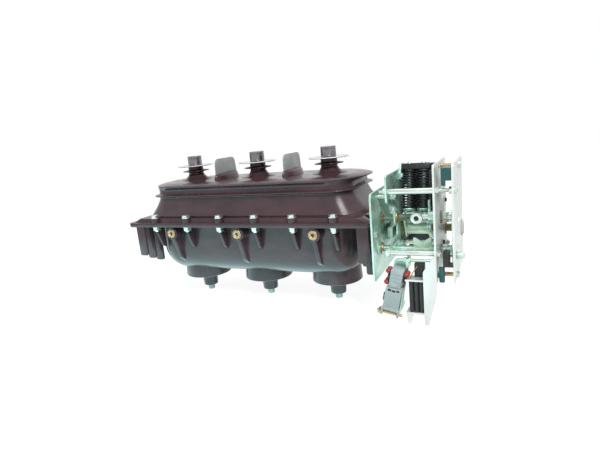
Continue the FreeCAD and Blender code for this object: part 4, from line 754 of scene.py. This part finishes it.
class SWITCH_OT_upper_housing(bpy.types.Operator):
    """Build the upper half of the tank with its rims, bushings and barrier seats"""
    bl_idname = "switchgear.upper_housing"
    bl_label = "Upper housing"

    def execute(self, context):
        s = tank()
        wall = (s.wall_x, s.wall_y, s.wall_r)
        bm = bmesh.new()
        rings = inset_rings(wall, ((s.wall_t, s.roof_z - 12), (s.wall_t, 0.0)))
        rings += inset_rings((s.flange_x, s.flange_y, s.flange_r), (
            (0.5, 0.0), (0.15, 0.2), (0.1, 0.5), (0.6, s.lip_z - 0.8), (0.9, s.lip_z - 0.2), (1.7, s.lip_z)))
        rings += rings_between((s.flange_x - 9, s.deck_y + 1, s.flange_r), (s.deck_x, s.deck_y, s.flange_r), (
            (-0.14, s.lip_z), (0.0, s.lip_z + 1), (0.93, s.deck_z - 0.8), (1.0, s.deck_z - 0.2),
            (1.1, s.deck_z)))
        stack(bm, rings + self.foot(s, wall) + self.low_rim(s, wall) + self.roof(s, wall))
        bm = pierced(bm, CORNER_HOLE, s.deck_z + 1, -1)
        bm = pierced(bm, 12, s.boss_z, s.lip_z)
        for x in phase_places():
            self.bushing(bm, s, x)
        for x in (-s.phase_pitch / 2, s.phase_pitch / 2):
            self.saddle(bm, s, x)
        for place in bolt_places(0):
            rod_shape(bm, s.boss_r, 1, s.boss_z, place, segments=40, soft=1.2)
        piece("upper_housing_cast", bm, "epoxy", ["upper_housing"])
        return {"FINISHED"}

    def foot(self, s, wall):
        """Hollow curve from the flange up to the wall, with a small fillet at its foot."""
        wide = (s.wall_x + s.end_flare, s.wall_y + s.side_flare, s.wall_r + s.side_flare)
        rings = [oblong(wide[0] + grow, wide[1] + 2 * grow, wide[2] + grow, s.deck_z + z)
                 for grow, z in ((-0.5, 0.0), (-0.9, 0.4), (-1.4, 1.4))]
        return rings + rings_between(wall, wide, [
            ((1 - share) ** 1.4, s.deck_z + s.flare_z * share) for share in (i / 16 for i in range(1, 17))])

    def low_rim(self, s, wall):
        """Thin rim with a concave root and a rounded edge."""
        rows = ((0.0, -1.9), (0.06, -1.0), (0.3, -0.55), (0.96, -0.28), (1.0, -0.12), (1.0, 0.12),
                (0.96, 0.3), (0.3, 0.75), (0.06, 1.2), (0.0, 2.1))
        root = 4.5
        return rings_between(wall, (s.low_rim_x, s.low_rim_y, s.wall_r + 8),
                             [(share, s.low_rim_z + drop * root) for share, drop in rows])

    def roof(self, s, wall):
        """Upper rim and crowned lid."""
        edge = (s.top_rim_x, s.top_rim_y, s.top_rim_y - 6)
        rim = ((0.0, -12.0), (0.05, -8.6), (0.35, -5.0), (0.97, -1.4), (1.0, -0.7), (1.0, 0.7))
        lid = ((0.9, 0.2), (6.0, 0.42), (16.0, 0.72), (26.0, 0.92), (34.0, 1.0))
        rings = rings_between(wall, edge, [(share, s.top_rim_z + z) for share, z in rim])
        return rings + inset_rings(edge, [(inset, s.top_rim_z + (s.roof_z - s.top_rim_z) * share)
                                          for inset, share in lid])

    def bushing(self, bm, s, x):
        """Concave skirt, neck and a thin shed."""
        z, shed = s.roof_z, s.shed_z
        lathe(bm, [(0.0, z - 10), (49, z - 10), (49, z - 1), (44, z + 1.5), (33, z + 4.5), (26, z + 9.5),
                   (s.neck_r, z + 17), (s.neck_r, shed - 3.2), (s.shed_r - 8, shed - 1.8),
                   (s.shed_r, shed - 0.9), (s.shed_r, shed + 0.9), (s.neck_r, shed + 3.4),
                   (s.neck_r, s.neck_z), (0.0, s.neck_z)], (x, 0, 0), segments=64, soft=2.2)

    def saddle(self, bm, s, x):
        """Smooth mound with a pointed oval plan."""
        half_length, half_width, height, sunk = 60, 19, 17, 1.5
        rings = []
        for i in range(9):
            turn = pi / 2 * i / 8
            width = half_width * (0.22 + 0.78 * cos(turn))
            length = half_length * (0.84 + 0.16 * cos(turn))
            z = s.roof_z - sunk + (height + sunk) * sin(turn)
            rings.append([(x + width * sin(a) * abs(sin(a)) ** 0.3, -length * cos(a), z)
                          for a in full_turn(40)])
        stack(bm, rings)


class SWITCH_OT_lower_housing(bpy.types.Operator):
    """Build the lower half of the tank with its cups, ribs and end plates"""
    bl_idname = "switchgear.lower_housing"
    bl_label = "Lower housing"

    def execute(self, context):
        s = tank()
        bm = bmesh.new()
        stack(bm, self.trough(s))
        bm = pierced(bm, CORNER_HOLE, 1, -s.lower_t - 1)
        for x in phase_places():
            self.cup(bm, s, x)
        lathe(bm, [(0.0, 270), (39, 270), (39, 354.4), (20, 354.4), (20, 352), (0.0, 352)], (0, 0, s.shaft_z),
              ALONG, segments=56, soft=2)
        lathe(bm, [(0.0, 100), (47, 100), (47, 122), (30, 122), (30, 108), (0.0, 108)],
              (s.phase_pitch / 2, 0, -78), axis=(0, 1, 0), segments=56, soft=1.5)
        self.end_plates(bm, s)
        piece("lower_housing_cast", bm, "epoxy", ["lower_housing"])
        self.ribs()
        return {"FINISHED"}

    def trough(self, s):
        """Rings from the inside bottom, over the flange and down to the outside bottom."""
        outline = (s.trough_x, s.trough_y, s.trough_r)
        radius, t = s.trough_r - s.wall_t, s.lower_t
        turns = [(1 - cos(a), 1 - sin(a)) for a in (pi / 2 * i / 12 for i in range(13))]
        rings = inset_rings(outline, [(s.wall_t + radius * across, s.trough_z + s.wall_t + radius * down)
                                      for down, across in turns])
        rings += inset_rings(outline, ((s.wall_t, 0.0),))
        rings += inset_rings((s.flange_x, s.flange_y, s.flange_r), (
            (0.5, 0.0), (0.15, -0.2), (0.1, -0.5), (0.6, 0.9 - t), (0.9, 0.3 - t), (1.7, -t)))
        rings += inset_rings(outline, ((-5.0, -t), (-1.5, -t - 1.3), (-0.4, -t - 3.0), (0.0, -t - 6.0)))
        rings += inset_rings(outline, [(s.trough_r * across, s.trough_z + s.trough_r * up)
                                       for across, up in turns])
        return [ring[::-1] for ring in rings]

    def cup(self, bm, s, x):
        """Cup round a tapered stem, open below."""
        inner, ceiling, root = s.cup_r - 8, s.cup_z + 26, s.trough_z + 40
        lathe(bm, [(0.0, s.stem_z), (s.stem_r, s.stem_z), (s.stem_r + 1, s.stem_z + 3),
                   (s.stem_r + 4, ceiling), (inner - 3, ceiling), (inner, s.cup_z), (s.cup_r - 2, s.cup_z),
                   (s.cup_r, s.cup_z + 2), (s.cup_r - 4, root), (0.0, root)],
              (x, 0, 0), segments=64, soft=2.5)

    def end_plates(self, bm, s):
        """Three fins in a row under each corner of the flange."""
        half, width, taper = 3.5, 28, 0.6
        for left, bottoms in ((-s.trough_x - 21, (-91, -107, -121)), (s.trough_x + 13, (-91, -107, -137))):
            right = left + width
            for i, bottom in enumerate(bottoms):
                for side in (-1, 1):
                    y = side * (s.flange_y - 5 - i * 30) - half
                    slab(bm, [(left, y, -8), (right, y, -8), (right - taper, y, bottom + 4),
                              (right - 4, y, bottom), (left + 4, y, bottom), (left + taper, y, bottom + 4)],
                         (0, 2 * half, 0), 1.1)

    def ribs(self):
        """Gussets under the flange bolts, long ribs and insert bosses, on both sides."""
        gusset = bmesh.new()
        slab_x(gusset, -3.5, 3.5, [(-114, -8), (-129.6, -8), (-129.6, -25.8), (-144.5, -25.8), (-129, -64.5),
                                   (-124, -69), (-114, -74.5)], 1.5)
        both_sides("housing_gussets", gusset, bolt_stations(), "epoxy")
        rib = bmesh.new()
        slab_x(rib, -6, 6, [(-98, -8), (-141, -8), (-141, -46), (-123.5, -100), (-118, -106.5), (-100, -120),
                            (-88, -114)], 2.2)
        lathe(rib, [(0.0, 0.0), (17.5, 0.0), (17.5, 31), (13.2, 31), (13.2, 30), (0.0, 30)],
              (0, -116, INSERT_Z), FORWARD, segments=40, soft=1.4)
        both_sides("housing_ribs", rib, phase_places(), "epoxy")


class SWITCH_OT_flange_bolts(bpy.types.Operator):
    """Grow the bolts and nuts of the flange"""
    bl_idname = "switchgear.flange_bolts"
    bl_label = "Flange bolts"

    def execute(self, context):
        s = tank()
        f = in_mm(context.scene.fastener_sizes)
        tree = fastener_tree()
        heads = hexagons(tree, "bolt_heads", bolt_places(s.boss_z), f.flange_hex, f.flange_head,
                         (f.washer_r, 1.8), (4.5, -1), (0.0, 0.0, 0.3))
        nuts = hexagons(tree, "bolt_nuts", bolt_places(-s.lower_t), f.flange_hex, f.flange_nut,
                        (f.washer_r - 0.5, 1.6), (6, 4), (pi, 0.0, 0.2))
        joined_piece("flange_bolt_set", [heads, nuts], "bright_zinc", ["flange_bolts"])
        return {"FINISHED"}


class SWITCH_OT_side_inserts(bpy.types.Operator):
    """Turn the brass inserts with their threaded mouths"""
    bl_idname = "switchgear.side_inserts"
    bl_label = "Side inserts"

    def execute(self, context):
        bm = bmesh.new()
        mouth = (0, INSERT_FACE, INSERT_Z)
        lathe(bm, [(4.25, -40), (4.25, -1), (5.2, 0), (8.4, 0), (8.8, -0.7), (9.6, -0.7), (10.2, 0),
                   (11.2, 0), (12, -0.8), (12, -40)], mouth, FORWARD, segments=40)
        rod_shape(bm, 4.5, -22.3, -22, mouth, axis=FORWARD, segments=40)
        both_sides("brass_inserts", bm, phase_places(), "brass", ["side_inserts"])
        return {"FINISHED"}


class SWITCH_OT_terminals(bpy.types.Operator):
    """Turn the upper terminals, field discs and lower studs"""
    bl_idname = "switchgear.terminals"
    bl_label = "Terminals"

    def execute(self, context):
        s = tank()
        for number, x in enumerate(phase_places(), 1):
            self.cap(s, x, number)
            self.field_disc(s, x, number)
            self.stud(s, x, number)
        return {"FINISHED"}

    def cap(self, s, x, number):
        """Upper terminal with a groove and a threaded hole, its rod and the shoe under it."""
        bm = bmesh.new()
        r, top, low, groove = s.cap_r, s.cap_z, s.neck_z + 3, s.cap_r - 0.7
        lathe(bm, [(0.0, low), (r - 0.5, low), (r, low + 0.5), (r, top - 6.4), (groove, top - 6),
                   (groove, top - 5), (r, top - 4.6), (r, top - 1.2), (r - 1.2, top), (6.4, top),
                   (5.1, top - 1.2), (5.1, top - 20), (0.0, top - 20)], (x, 0, 0), segments=56)
        rod_shape(bm, 13.9, 57, low, (x, 0, 0))
        box_shape(bm, (x - 6.5, x + 6.5), (-15, 15), (25, 60), 1.5)
        piece("terminal_cap_%d" % number, bm, "dark_terminal", ["upper_terminal_%d" % number])

    def field_disc(self, s, x, number):
        """Spun disc with a rolled rim."""
        bm = bmesh.new()
        z, r, bore = s.neck_z, s.disc_r, 14.1
        lathe(bm, [(bore, z + 2.2), (bore, z + 0.3), (26, z + 0.3), (r - 5, z + 0.9), (r - 1.4, z + 0.2),
                   (r, z + 1.2), (r, z + 2), (r - 1.4, z + 2.9), (r - 5, z + 2.2), (26, z + 1.7),
                   (22, z + 2.2)], (x, 0, 0), segments=72)
        piece("spun_disc_%d" % number, bm, "disc_aluminium", ["field_disc_%d" % number])

    def stud(self, s, x, number):
        """Lower terminal with a grooved collar, and its contact shoe inside the tank."""
        bm = bmesh.new()
        stem, end, top, r = s.stem_z, s.stem_z - 16, -76, 9.5
        lathe(bm, [(0.0, end), (5, end), (5.6, end + 0.6), (8.2, end + 0.6), (r, end + 1.8), (r, stem - 3.2),
                   (8.6, stem - 2.6), (8.6, stem - 1.6), (r, stem - 1), (r, stem), (7.9, stem), (7.9, top),
                   (0.0, top)], (x, 0, 0), segments=48)
        inside, outside = (arc(radius, 236, 68, 10, (0, s.shaft_z)) for radius in (31.5, 39.5))
        slab_x(bm, x - 15, x + 15, inside + outside[::-1], 0)
        piece("lower_stud_%d" % number, bm, "terminal_silver", ["lower_terminal_%d" % number])


class SWITCH_OT_barriers(bpy.types.Operator):
    """Build the sheets between the phases"""
    bl_idname = "switchgear.barriers"
    bl_label = "Phase barriers"

    def execute(self, context):
        corner = 16
        for number in (1, 2):
            low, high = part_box("phase_barrier_%d" % number)
            (x0, y0, z0), (x1, y1, z1) = low / MM, high / MM
            outline = [(y0, z0), (y1, z0)] + arc(corner, 0, 90, 8, (y1 - 6 - corner, z1 - corner))
            outline += arc(corner, 90, 90, 8, (y0 + 3 + corner, z1 - corner))
            bm = bmesh.new()
            slab_x(bm, x0, x1, outline, 0.9)
            piece("barrier_sheet_%d" % number, bm, "barrier_plastic", ["phase_barrier_%d" % number])
        return {"FINISHED"}


class SWITCH_OT_springs(bpy.types.Operator):
    """Wind the two main springs"""
    bl_idname = "switchgear.springs"
    bl_label = "Main springs"

    def execute(self, context):
        f = in_mm(context.scene.fastener_sizes)
        turns = context.scene.fastener_sizes.spring_turns
        crank_pin = Vector((0, -28.925, -5.528))
        way = Vector((0, 0, 108)) - crank_pin
        up = way.normalized()
        seat, far_seat = 17.6, 7.8
        tree = coil_tree()
        for number, x in ((1, 414), (2, 447.5)):
            mesh = tree.grow("coil", [(0, 0, 0)], "spring_steel", Coil_radius=f.spring_r,
                             Wire_radius=f.wire_r, Turns=turns, Closed_share=0.9 / turns, Steps=40, Sides=14,
                             Length=way.length - far_seat - seat - 2 * f.wire_r)
            place = Vector((x, crank_pin.y, crank_pin.z)) + up * (seat + f.wire_r)
            mesh.transform(Matrix.Translation(place * MM) @ up.to_track_quat("Z", "X").to_matrix().to_4x4())
            mesh_piece("spring_coil_%d" % number, mesh, "spring_steel", ["main_spring_%d" % number],
                       "guide_body")
        return {"FINISHED"}


class SWITCH_OT_sheet_metal(bpy.types.Operator):
    """Round the punched and turned edges of the plates, levers and shafts"""
    bl_idname = "switchgear.sheet_metal"
    bl_label = "Plates, levers and shafts"

    def execute(self, context):
        slots = {row["node"]: row["material_slot"] for row in frame["record"]["subparts"]}
        for width, names in EDGES.items():
            for node in names:
                piece(node + "_edged", edged_copy(node, width), slots[node], [node], BODY_OF[node])
        return {"FINISHED"}


class SWITCH_OT_rods(bpy.types.Operator):
    """Turn the distance rods with their threads, and grow the nuts and screws of the plates"""
    bl_idname = "switchgear.rods"
    bl_label = "Rods and nuts"

    def execute(self, context):
        bm = bmesh.new()
        for y, z, end in LONG_RODS:
            self.rod(bm, y, z, (376, BEARING[1], INNER[0], end), 6)
        for y, z in SHORT_RODS:
            self.rod(bm, y, z, (356.3, MOUNTING[1], BEARING[0], 402), 5)
        piece("threaded_rods", bm, "bright_zinc", ["tie_rods"])
        bm = bmesh.new()
        for y, z in SPACERS:
            self.rod(bm, y, z, (484.5, INNER[1], FRONT[0], 535.5), 5)
        piece("turned_spacers", bm, "brass", ["front_spacers"])
        self.nuts(context)
        bm = bmesh.new()
        lathe(bm, [(0.0, 75), (5.3, 75), (5.3, 83.6), (4.7, 84.2), (0.0, 84.2)], (CRANK_X, 0, 0), FORWARD,
              segments=32)
        piece("shaft_cross_pin", bm, "spring_steel", body="switch_shaft_body")
        return {"FINISHED"}

    def nuts(self, context):
        f = in_mm(context.scene.fastener_sizes)
        long_rods = [(y, z) for y, z, _ in LONG_RODS]
        ahead = ((INNER[1], long_rods), (BEARING[1], SHORT_RODS), (FRONT[1], (*SPACERS, long_rods[0])))
        behind = ((BEARING[0], long_rods), (INNER[0], SPACERS), (FRONT[0], long_rods[:1]))
        circle = 29 * sqrt(0.5)
        flange = [(sy * circle, tank().shaft_z + sz * circle) for sy in (-1, 1) for sz in (-1, 1)]
        heads = ((MOUNTING[1], (*flange, (-141, -25), (141, -25))),)
        tree = fastener_tree()
        made = [hexagons(tree, name, [(x, y, z) for x, rods in rows for y, z in rods], f.plate_hex, height,
                         (f.plate_hex * 0.55, 0.8), (4, -1), (0.0, direction * pi / 2, 0.0))
                for name, rows, direction, height in (
                    ("nuts", ahead, 1, f.plate_nut), ("nuts_behind", behind, -1, f.plate_nut),
                    ("heads", heads, 1, f.plate_nut - 1))]
        joined_piece("plate_nuts", made, "bright_zinc", ["plate_fasteners"])
        screws = hexagons(tree, "plate_screws", [(INNER[1], y, z) for y, z in DARK_SCREWS], 8, 4, (5.4, 0.8),
                          (2, -1), (0.0, pi / 2, 0.0), "black_plastic")
        mesh_piece("plate_screws", screws, "black_plastic")

    def rod(self, bm, y, z, stations, radius):
        """Rod with a thinner threaded end on each side."""
        first, shoulder, far_shoulder, last = stations
        core, chamfer = 4, 0.6
        left = self.thread(core, shoulder - first - 0.4)
        right = self.thread(core, last - far_shoulder - 0.4)
        profile = [(0.0, first)] + [(r, first + h) for r, h in left]
        profile += [(core, shoulder), (radius - chamfer, shoulder), (radius, shoulder + chamfer),
                    (radius, far_shoulder - chamfer), (radius - chamfer, far_shoulder), (core, far_shoulder)]
        profile += [(r, last - h) for r, h in reversed(right)] + [(0.0, last)]
        lathe(bm, profile, (0, y, z), ALONG, segments=24)

    def thread(self, radius, length):
        """(radius, height) points of a thread with a lead-in at its start."""
        pitch = 1.25
        points = [(radius - 0.8, 0.0)]
        for i in range(int(length / pitch)):
            low = 0.3 + i * pitch
            points += [(radius, low), (radius, low + 0.25 * pitch), (radius - 0.6, low + 0.62 * pitch)]
        return points


class SWITCH_OT_auxiliary_switch(bpy.types.Operator):
    """Build the auxiliary switch: two bodies, clips, terminals and latch"""
    bl_idname = "switchgear.auxiliary_switch"
    bl_label = "Auxiliary switch"

    def execute(self, context):
        sides = (-1, 1)
        self.boxes("contact_module", "grey_plastic", [self.block(*row) for row in (
            (13.5, 44, -136, -95, 1.6), (13.5, 45, -120, -118, 0.5), (13.5, 45, -112, -110, 0.5),
            (13.5, 45, -104, -102, 0.5), (6, 45.4, -134, -124, 0.6))], ["aux_switch_upper"])
        lugs = [(side * 18 - 2, side * 18 + 2, -180, -168, -200, -186, 0.8) for side in sides]
        self.boxes("switch_module", "grey_plastic", [
            self.block(18, 48, -189, -136.4, 1.8), self.block(20, 50, -189, -183, 0.8), *lugs],
            ["aux_switch_lower"])
        self.boxes("switch_clips", "black_plastic", [
            (-13, -5, -176.8, -170.8, -143, -138, 0.6), (-3, 4, -176.8, -170.8, -144, -139, 0.6),
            (6, 13, -176.8, -170.8, -142, -138, 0.6), (-21.2, -17.8, -170, -164, -170, -152, 0.6)])
        caps = bmesh.new()
        collars = bmesh.new()
        for side, z in ((-1, -128), (-1, -102), (1, -102)):
            for y in (-164, -148):
                centre, axis = (AUX_X + side * 13.5, y, z), (side, 0, 0)
                lathe(caps, [(0.0, 3), (5, 3), (5.5, 3.8), (5.5, 7.5), (4.9, 9.8), (3.4, 11.4), (1.8, 12),
                             (1.8, 10.8), (0.0, 10.8)], centre, axis, segments=28)
                rod_shape(collars, 4.3, 0.0, 3.2, centre, axis=axis, segments=20)
        self.leaned("terminal_screws", caps, "red_plastic", ["aux_terminals"])
        self.boxes("terminal_collars", "black_plastic", [
            (side * 17 - 3, side * 17 + 3, -166, -146, -121, -109, 0.8) for side in sides], bm=collars)
        return {"FINISHED"}

    def block(self, half, depth, z0, z1, edge):
        """Row of a box that stands against the bracket."""
        return (-half, half, AUX_FACE - depth, AUX_FACE - 0.2, z0, z1, edge)

    def boxes(self, name, slot, rows, replaces=(), bm=None):
        """Piece of rounded boxes; rows are the lows and highs of X from the middle, Y and Z, and the edge."""
        bm = bm or bmesh.new()
        for x0, x1, y0, y1, z0, z1, edge in rows:
            box_shape(bm, (AUX_X + x0, AUX_X + x1), (y0, y1), (z0, z1), edge)
        self.leaned(name, bm, slot, replaces)

    def leaned(self, name, bm, slot, replaces=()):
        """Piece that leans to the slope of the bracket."""
        hinge = Vector((399, 0, -95)) * MM
        lean = Matrix.Rotation(radians(12), 4, "Y")
        turn = Matrix.Translation(hinge) @ lean @ Matrix.Translation(-hinge)
        bmesh.ops.transform(bm, matrix=turn, verts=bm.verts)
        piece(name, bm, slot, replaces)


class SWITCH_OT_trip_coil(bpy.types.Operator):
    """Build the trip coil with its rounded ribs, and the wire box above it"""
    bl_idname = "switchgear.trip_coil"
    bl_label = "Trip coil"

    def execute(self, context):
        bm = bmesh.new()
        left, right, back, front, bottom, height, ribs = 433.4, 465.6, -142, -164, -191.6, 70.2, 3
        width = (right - left) / ribs
        outline = [(right, back), (left, back)]
        for i in range(ribs):
            centre = left + (i + 0.5) * width
            for k in range(9):
                a = pi * (1 - k / 8)
                outline.append((centre + 0.46 * width * cos(a), front - 4 * sin(a)))
        slab(bm, [(x, y, bottom) for x, y in outline], (0, 0, height), 0.5)
        box_shape(bm, (444, 465), (-150, -130), (-117, -86), 1.2)
        for x in (447, 453, 459):
            box_shape(bm, (x, x + 2.5), (-151, -149), (-113, -90), 0.4)
        piece("coil_and_wire_box", bm, "black_plastic", ["coil_block"])
        self.wire([(437, -158, -117.4), (441, -157, -106), (447, -155, -98), (452, -153, -90)], 1.1)
        return {"FINISHED"}

    def wire(self, path, radius):
        """Round wire through points, with closed ends."""
        bm = bmesh.new()
        points = [Vector(p) for p in softened(path, 4, 5)]
        rings = []
        for before, here, after in zip([points[0]] + points, points, points[1:] + [points[-1]]):
            turn = Matrix.Translation(here) @ frame_along(after - before)
            rings.append([turn @ Vector((radius * cos(a), radius * sin(a), 0))
                          for a in full_turn(12)])
        stack(bm, rings)
        piece("coil_wire", bm, "shaft_resin")


class SWITCH_OT_stage(bpy.types.Operator):
    """Set up the floor, the lamps, the world and the camera"""
    bl_idname = "switchgear.stage"
    bl_label = "Stage"

    def execute(self, context):
        t = context.scene.stage_settings
        self.camera(context, t)
        self.floor(t)
        self.lamp("Window", (1.2, -1.35, 1.54), (0.8, 0.8), 32.0)
        self.lamp("Left_fill", (-2.4, -1.3, 1.5), (1.4, 1.2), 6.0)
        self.lamp("Top_soft", (0.3, 0.2, 2.1), (1.8, 1.4), 8.0)
        low = self.lamp("Floor_bounce", (-0.45, -0.5, CAD_BOX[0].z), (1.5, 1.0), 7.0, (0.38, 0.92, 0.92))
        low.rotation_euler = (pi, 0.0, 0.0)
        low.visible_camera = False
        self.world(context)
        context.scene.view_settings.view_transform = "Standard"
        return {"FINISHED"}

    def camera(self, context, t):
        data = bpy.data.cameras.new("Camera")
        data.lens = t.lens
        data.sensor_width = 36.0
        data.clip_start = 0.05
        camera = link(bpy.data.objects.new("Camera", data))
        pan, tilt = Matrix.Rotation(t.azimuth, 4, "Z"), Matrix.Rotation(pi / 2 - t.elevation, 4, "X")
        camera.matrix_world = Matrix.Translation(t.place) @ pan @ tilt @ Matrix.Rotation(-t.roll, 4, "Z")
        context.scene.camera = camera

    def floor(self, t):
        low, reach = CAD_BOX[0].z - t.floor_drop, t.floor_reach
        corners = ((-reach, -reach), (reach, -reach), (reach, reach), (-reach, reach))
        bm = bmesh.new()
        bm.faces.new([bm.verts.new((x, y, low)) for x, y in corners])
        floor = link(bpy.data.objects.new("Floor", mesh_of("Floor", bm)))
        dress(floor, self.floor_paint(t))

    def floor_paint(self, t):
        """White to the eye and in reflections, with the shadow kept, and clear from below."""
        paint = Paint("Pale_floor", Base_Color=(*t.floor_tone, 1.0), Roughness=0.9, Specular_IOR_Level=0.0,
                      Emission_Color=(1.0, 1.0, 1.0, 1.0))
        paint.set("Emission Strength", paint.between(paint.seen_directly(), 0.0, t.floor_glow, 0.0, 1.0))
        under = paint.add("ShaderNodeNewGeometry", "Backfacing")
        paint.set("Alpha", paint.between(under, 1.0, 0.0, 0.0, 1.0))
        return paint.material

    def lamp(self, name, place, sides, power, tint=(1.0, 1.0, 1.0)):
        data = bpy.data.lights.new(name, "AREA")
        data.shape = "RECTANGLE"
        data.size, data.size_y = sides
        data.energy = power
        data.color = tint
        lamp = link(bpy.data.objects.new(name, data))
        lamp.location = place
        aim = Vector((0.1, 0, 0)) - Vector(place)
        lamp.rotation_euler = aim.to_track_quat("-Z", "Y").to_euler()
        return lamp

    def world(self, context):
        """White backdrop, and a softer light for what it lights."""
        world = bpy.data.worlds.new("World")
        world.use_nodes = True
        graph = Graph(world.node_tree)
        graph.nodes.remove(graph.nodes["Background"])
        soft, backdrop = (
            graph.add("ShaderNodeBackground", "Background", Color=(*tone, 1.0), Strength=strength)
            for tone, strength in (((0.84, 0.88, 0.87), 0.26), ((1.0, 1.0, 1.0), 1.0)))
        mix = graph.nodes.new("ShaderNodeMixShader")
        for given, socket in zip((graph.seen_directly(), soft, backdrop), mix.inputs):
            graph.feed(given, socket)
        graph.feed(mix.outputs[0], graph.nodes["World Output"].inputs["Surface"])
        context.scene.world = world


OPERATORS = (SWITCH_OT_finishes, SWITCH_OT_upper_housing, SWITCH_OT_lower_housing, SWITCH_OT_flange_bolts,
             SWITCH_OT_side_inserts, SWITCH_OT_terminals, SWITCH_OT_barriers, SWITCH_OT_springs,
             SWITCH_OT_sheet_metal, SWITCH_OT_rods, SWITCH_OT_auxiliary_switch, SWITCH_OT_trip_coil,
             SWITCH_OT_stage)


class SWITCH_PT_builder(bpy.types.Panel):
    """Panel with a button for each group of pieces"""
    bl_idname = "SWITCH_PT_builder"
    bl_label = "Switch disconnector"
    bl_space_type = "VIEW_3D"
    bl_region_type = "UI"
    bl_category = "Switch"

    def draw(self, context):
        for operator in OPERATORS:
            self.layout.operator(operator.bl_idname)


GROUPS = (("tank_sizes", TankSizes), ("fastener_sizes", FastenerSizes), ("finish_colours", FinishColours),
          ("stage_settings", StageSettings))


def register():
    for name, group in GROUPS:
        bpy.utils.register_class(group)
        setattr(bpy.types.Scene, name, bpy.props.PointerProperty(type=group))
    for operator in OPERATORS:
        bpy.utils.register_class(operator)
    bpy.utils.register_class(SWITCH_PT_builder)


def unregister():
    bpy.utils.unregister_class(SWITCH_PT_builder)
    for operator in reversed(OPERATORS):
        bpy.utils.unregister_class(operator)
    for name, group in reversed(GROUPS):
        delattr(bpy.types.Scene, name)
        bpy.utils.unregister_class(group)


def main():
    register()
    for operator in OPERATORS:
        family, action = operator.bl_idname.split(".")
        getattr(getattr(bpy.ops, family), action)()


if __name__ == "__main__":
    main()
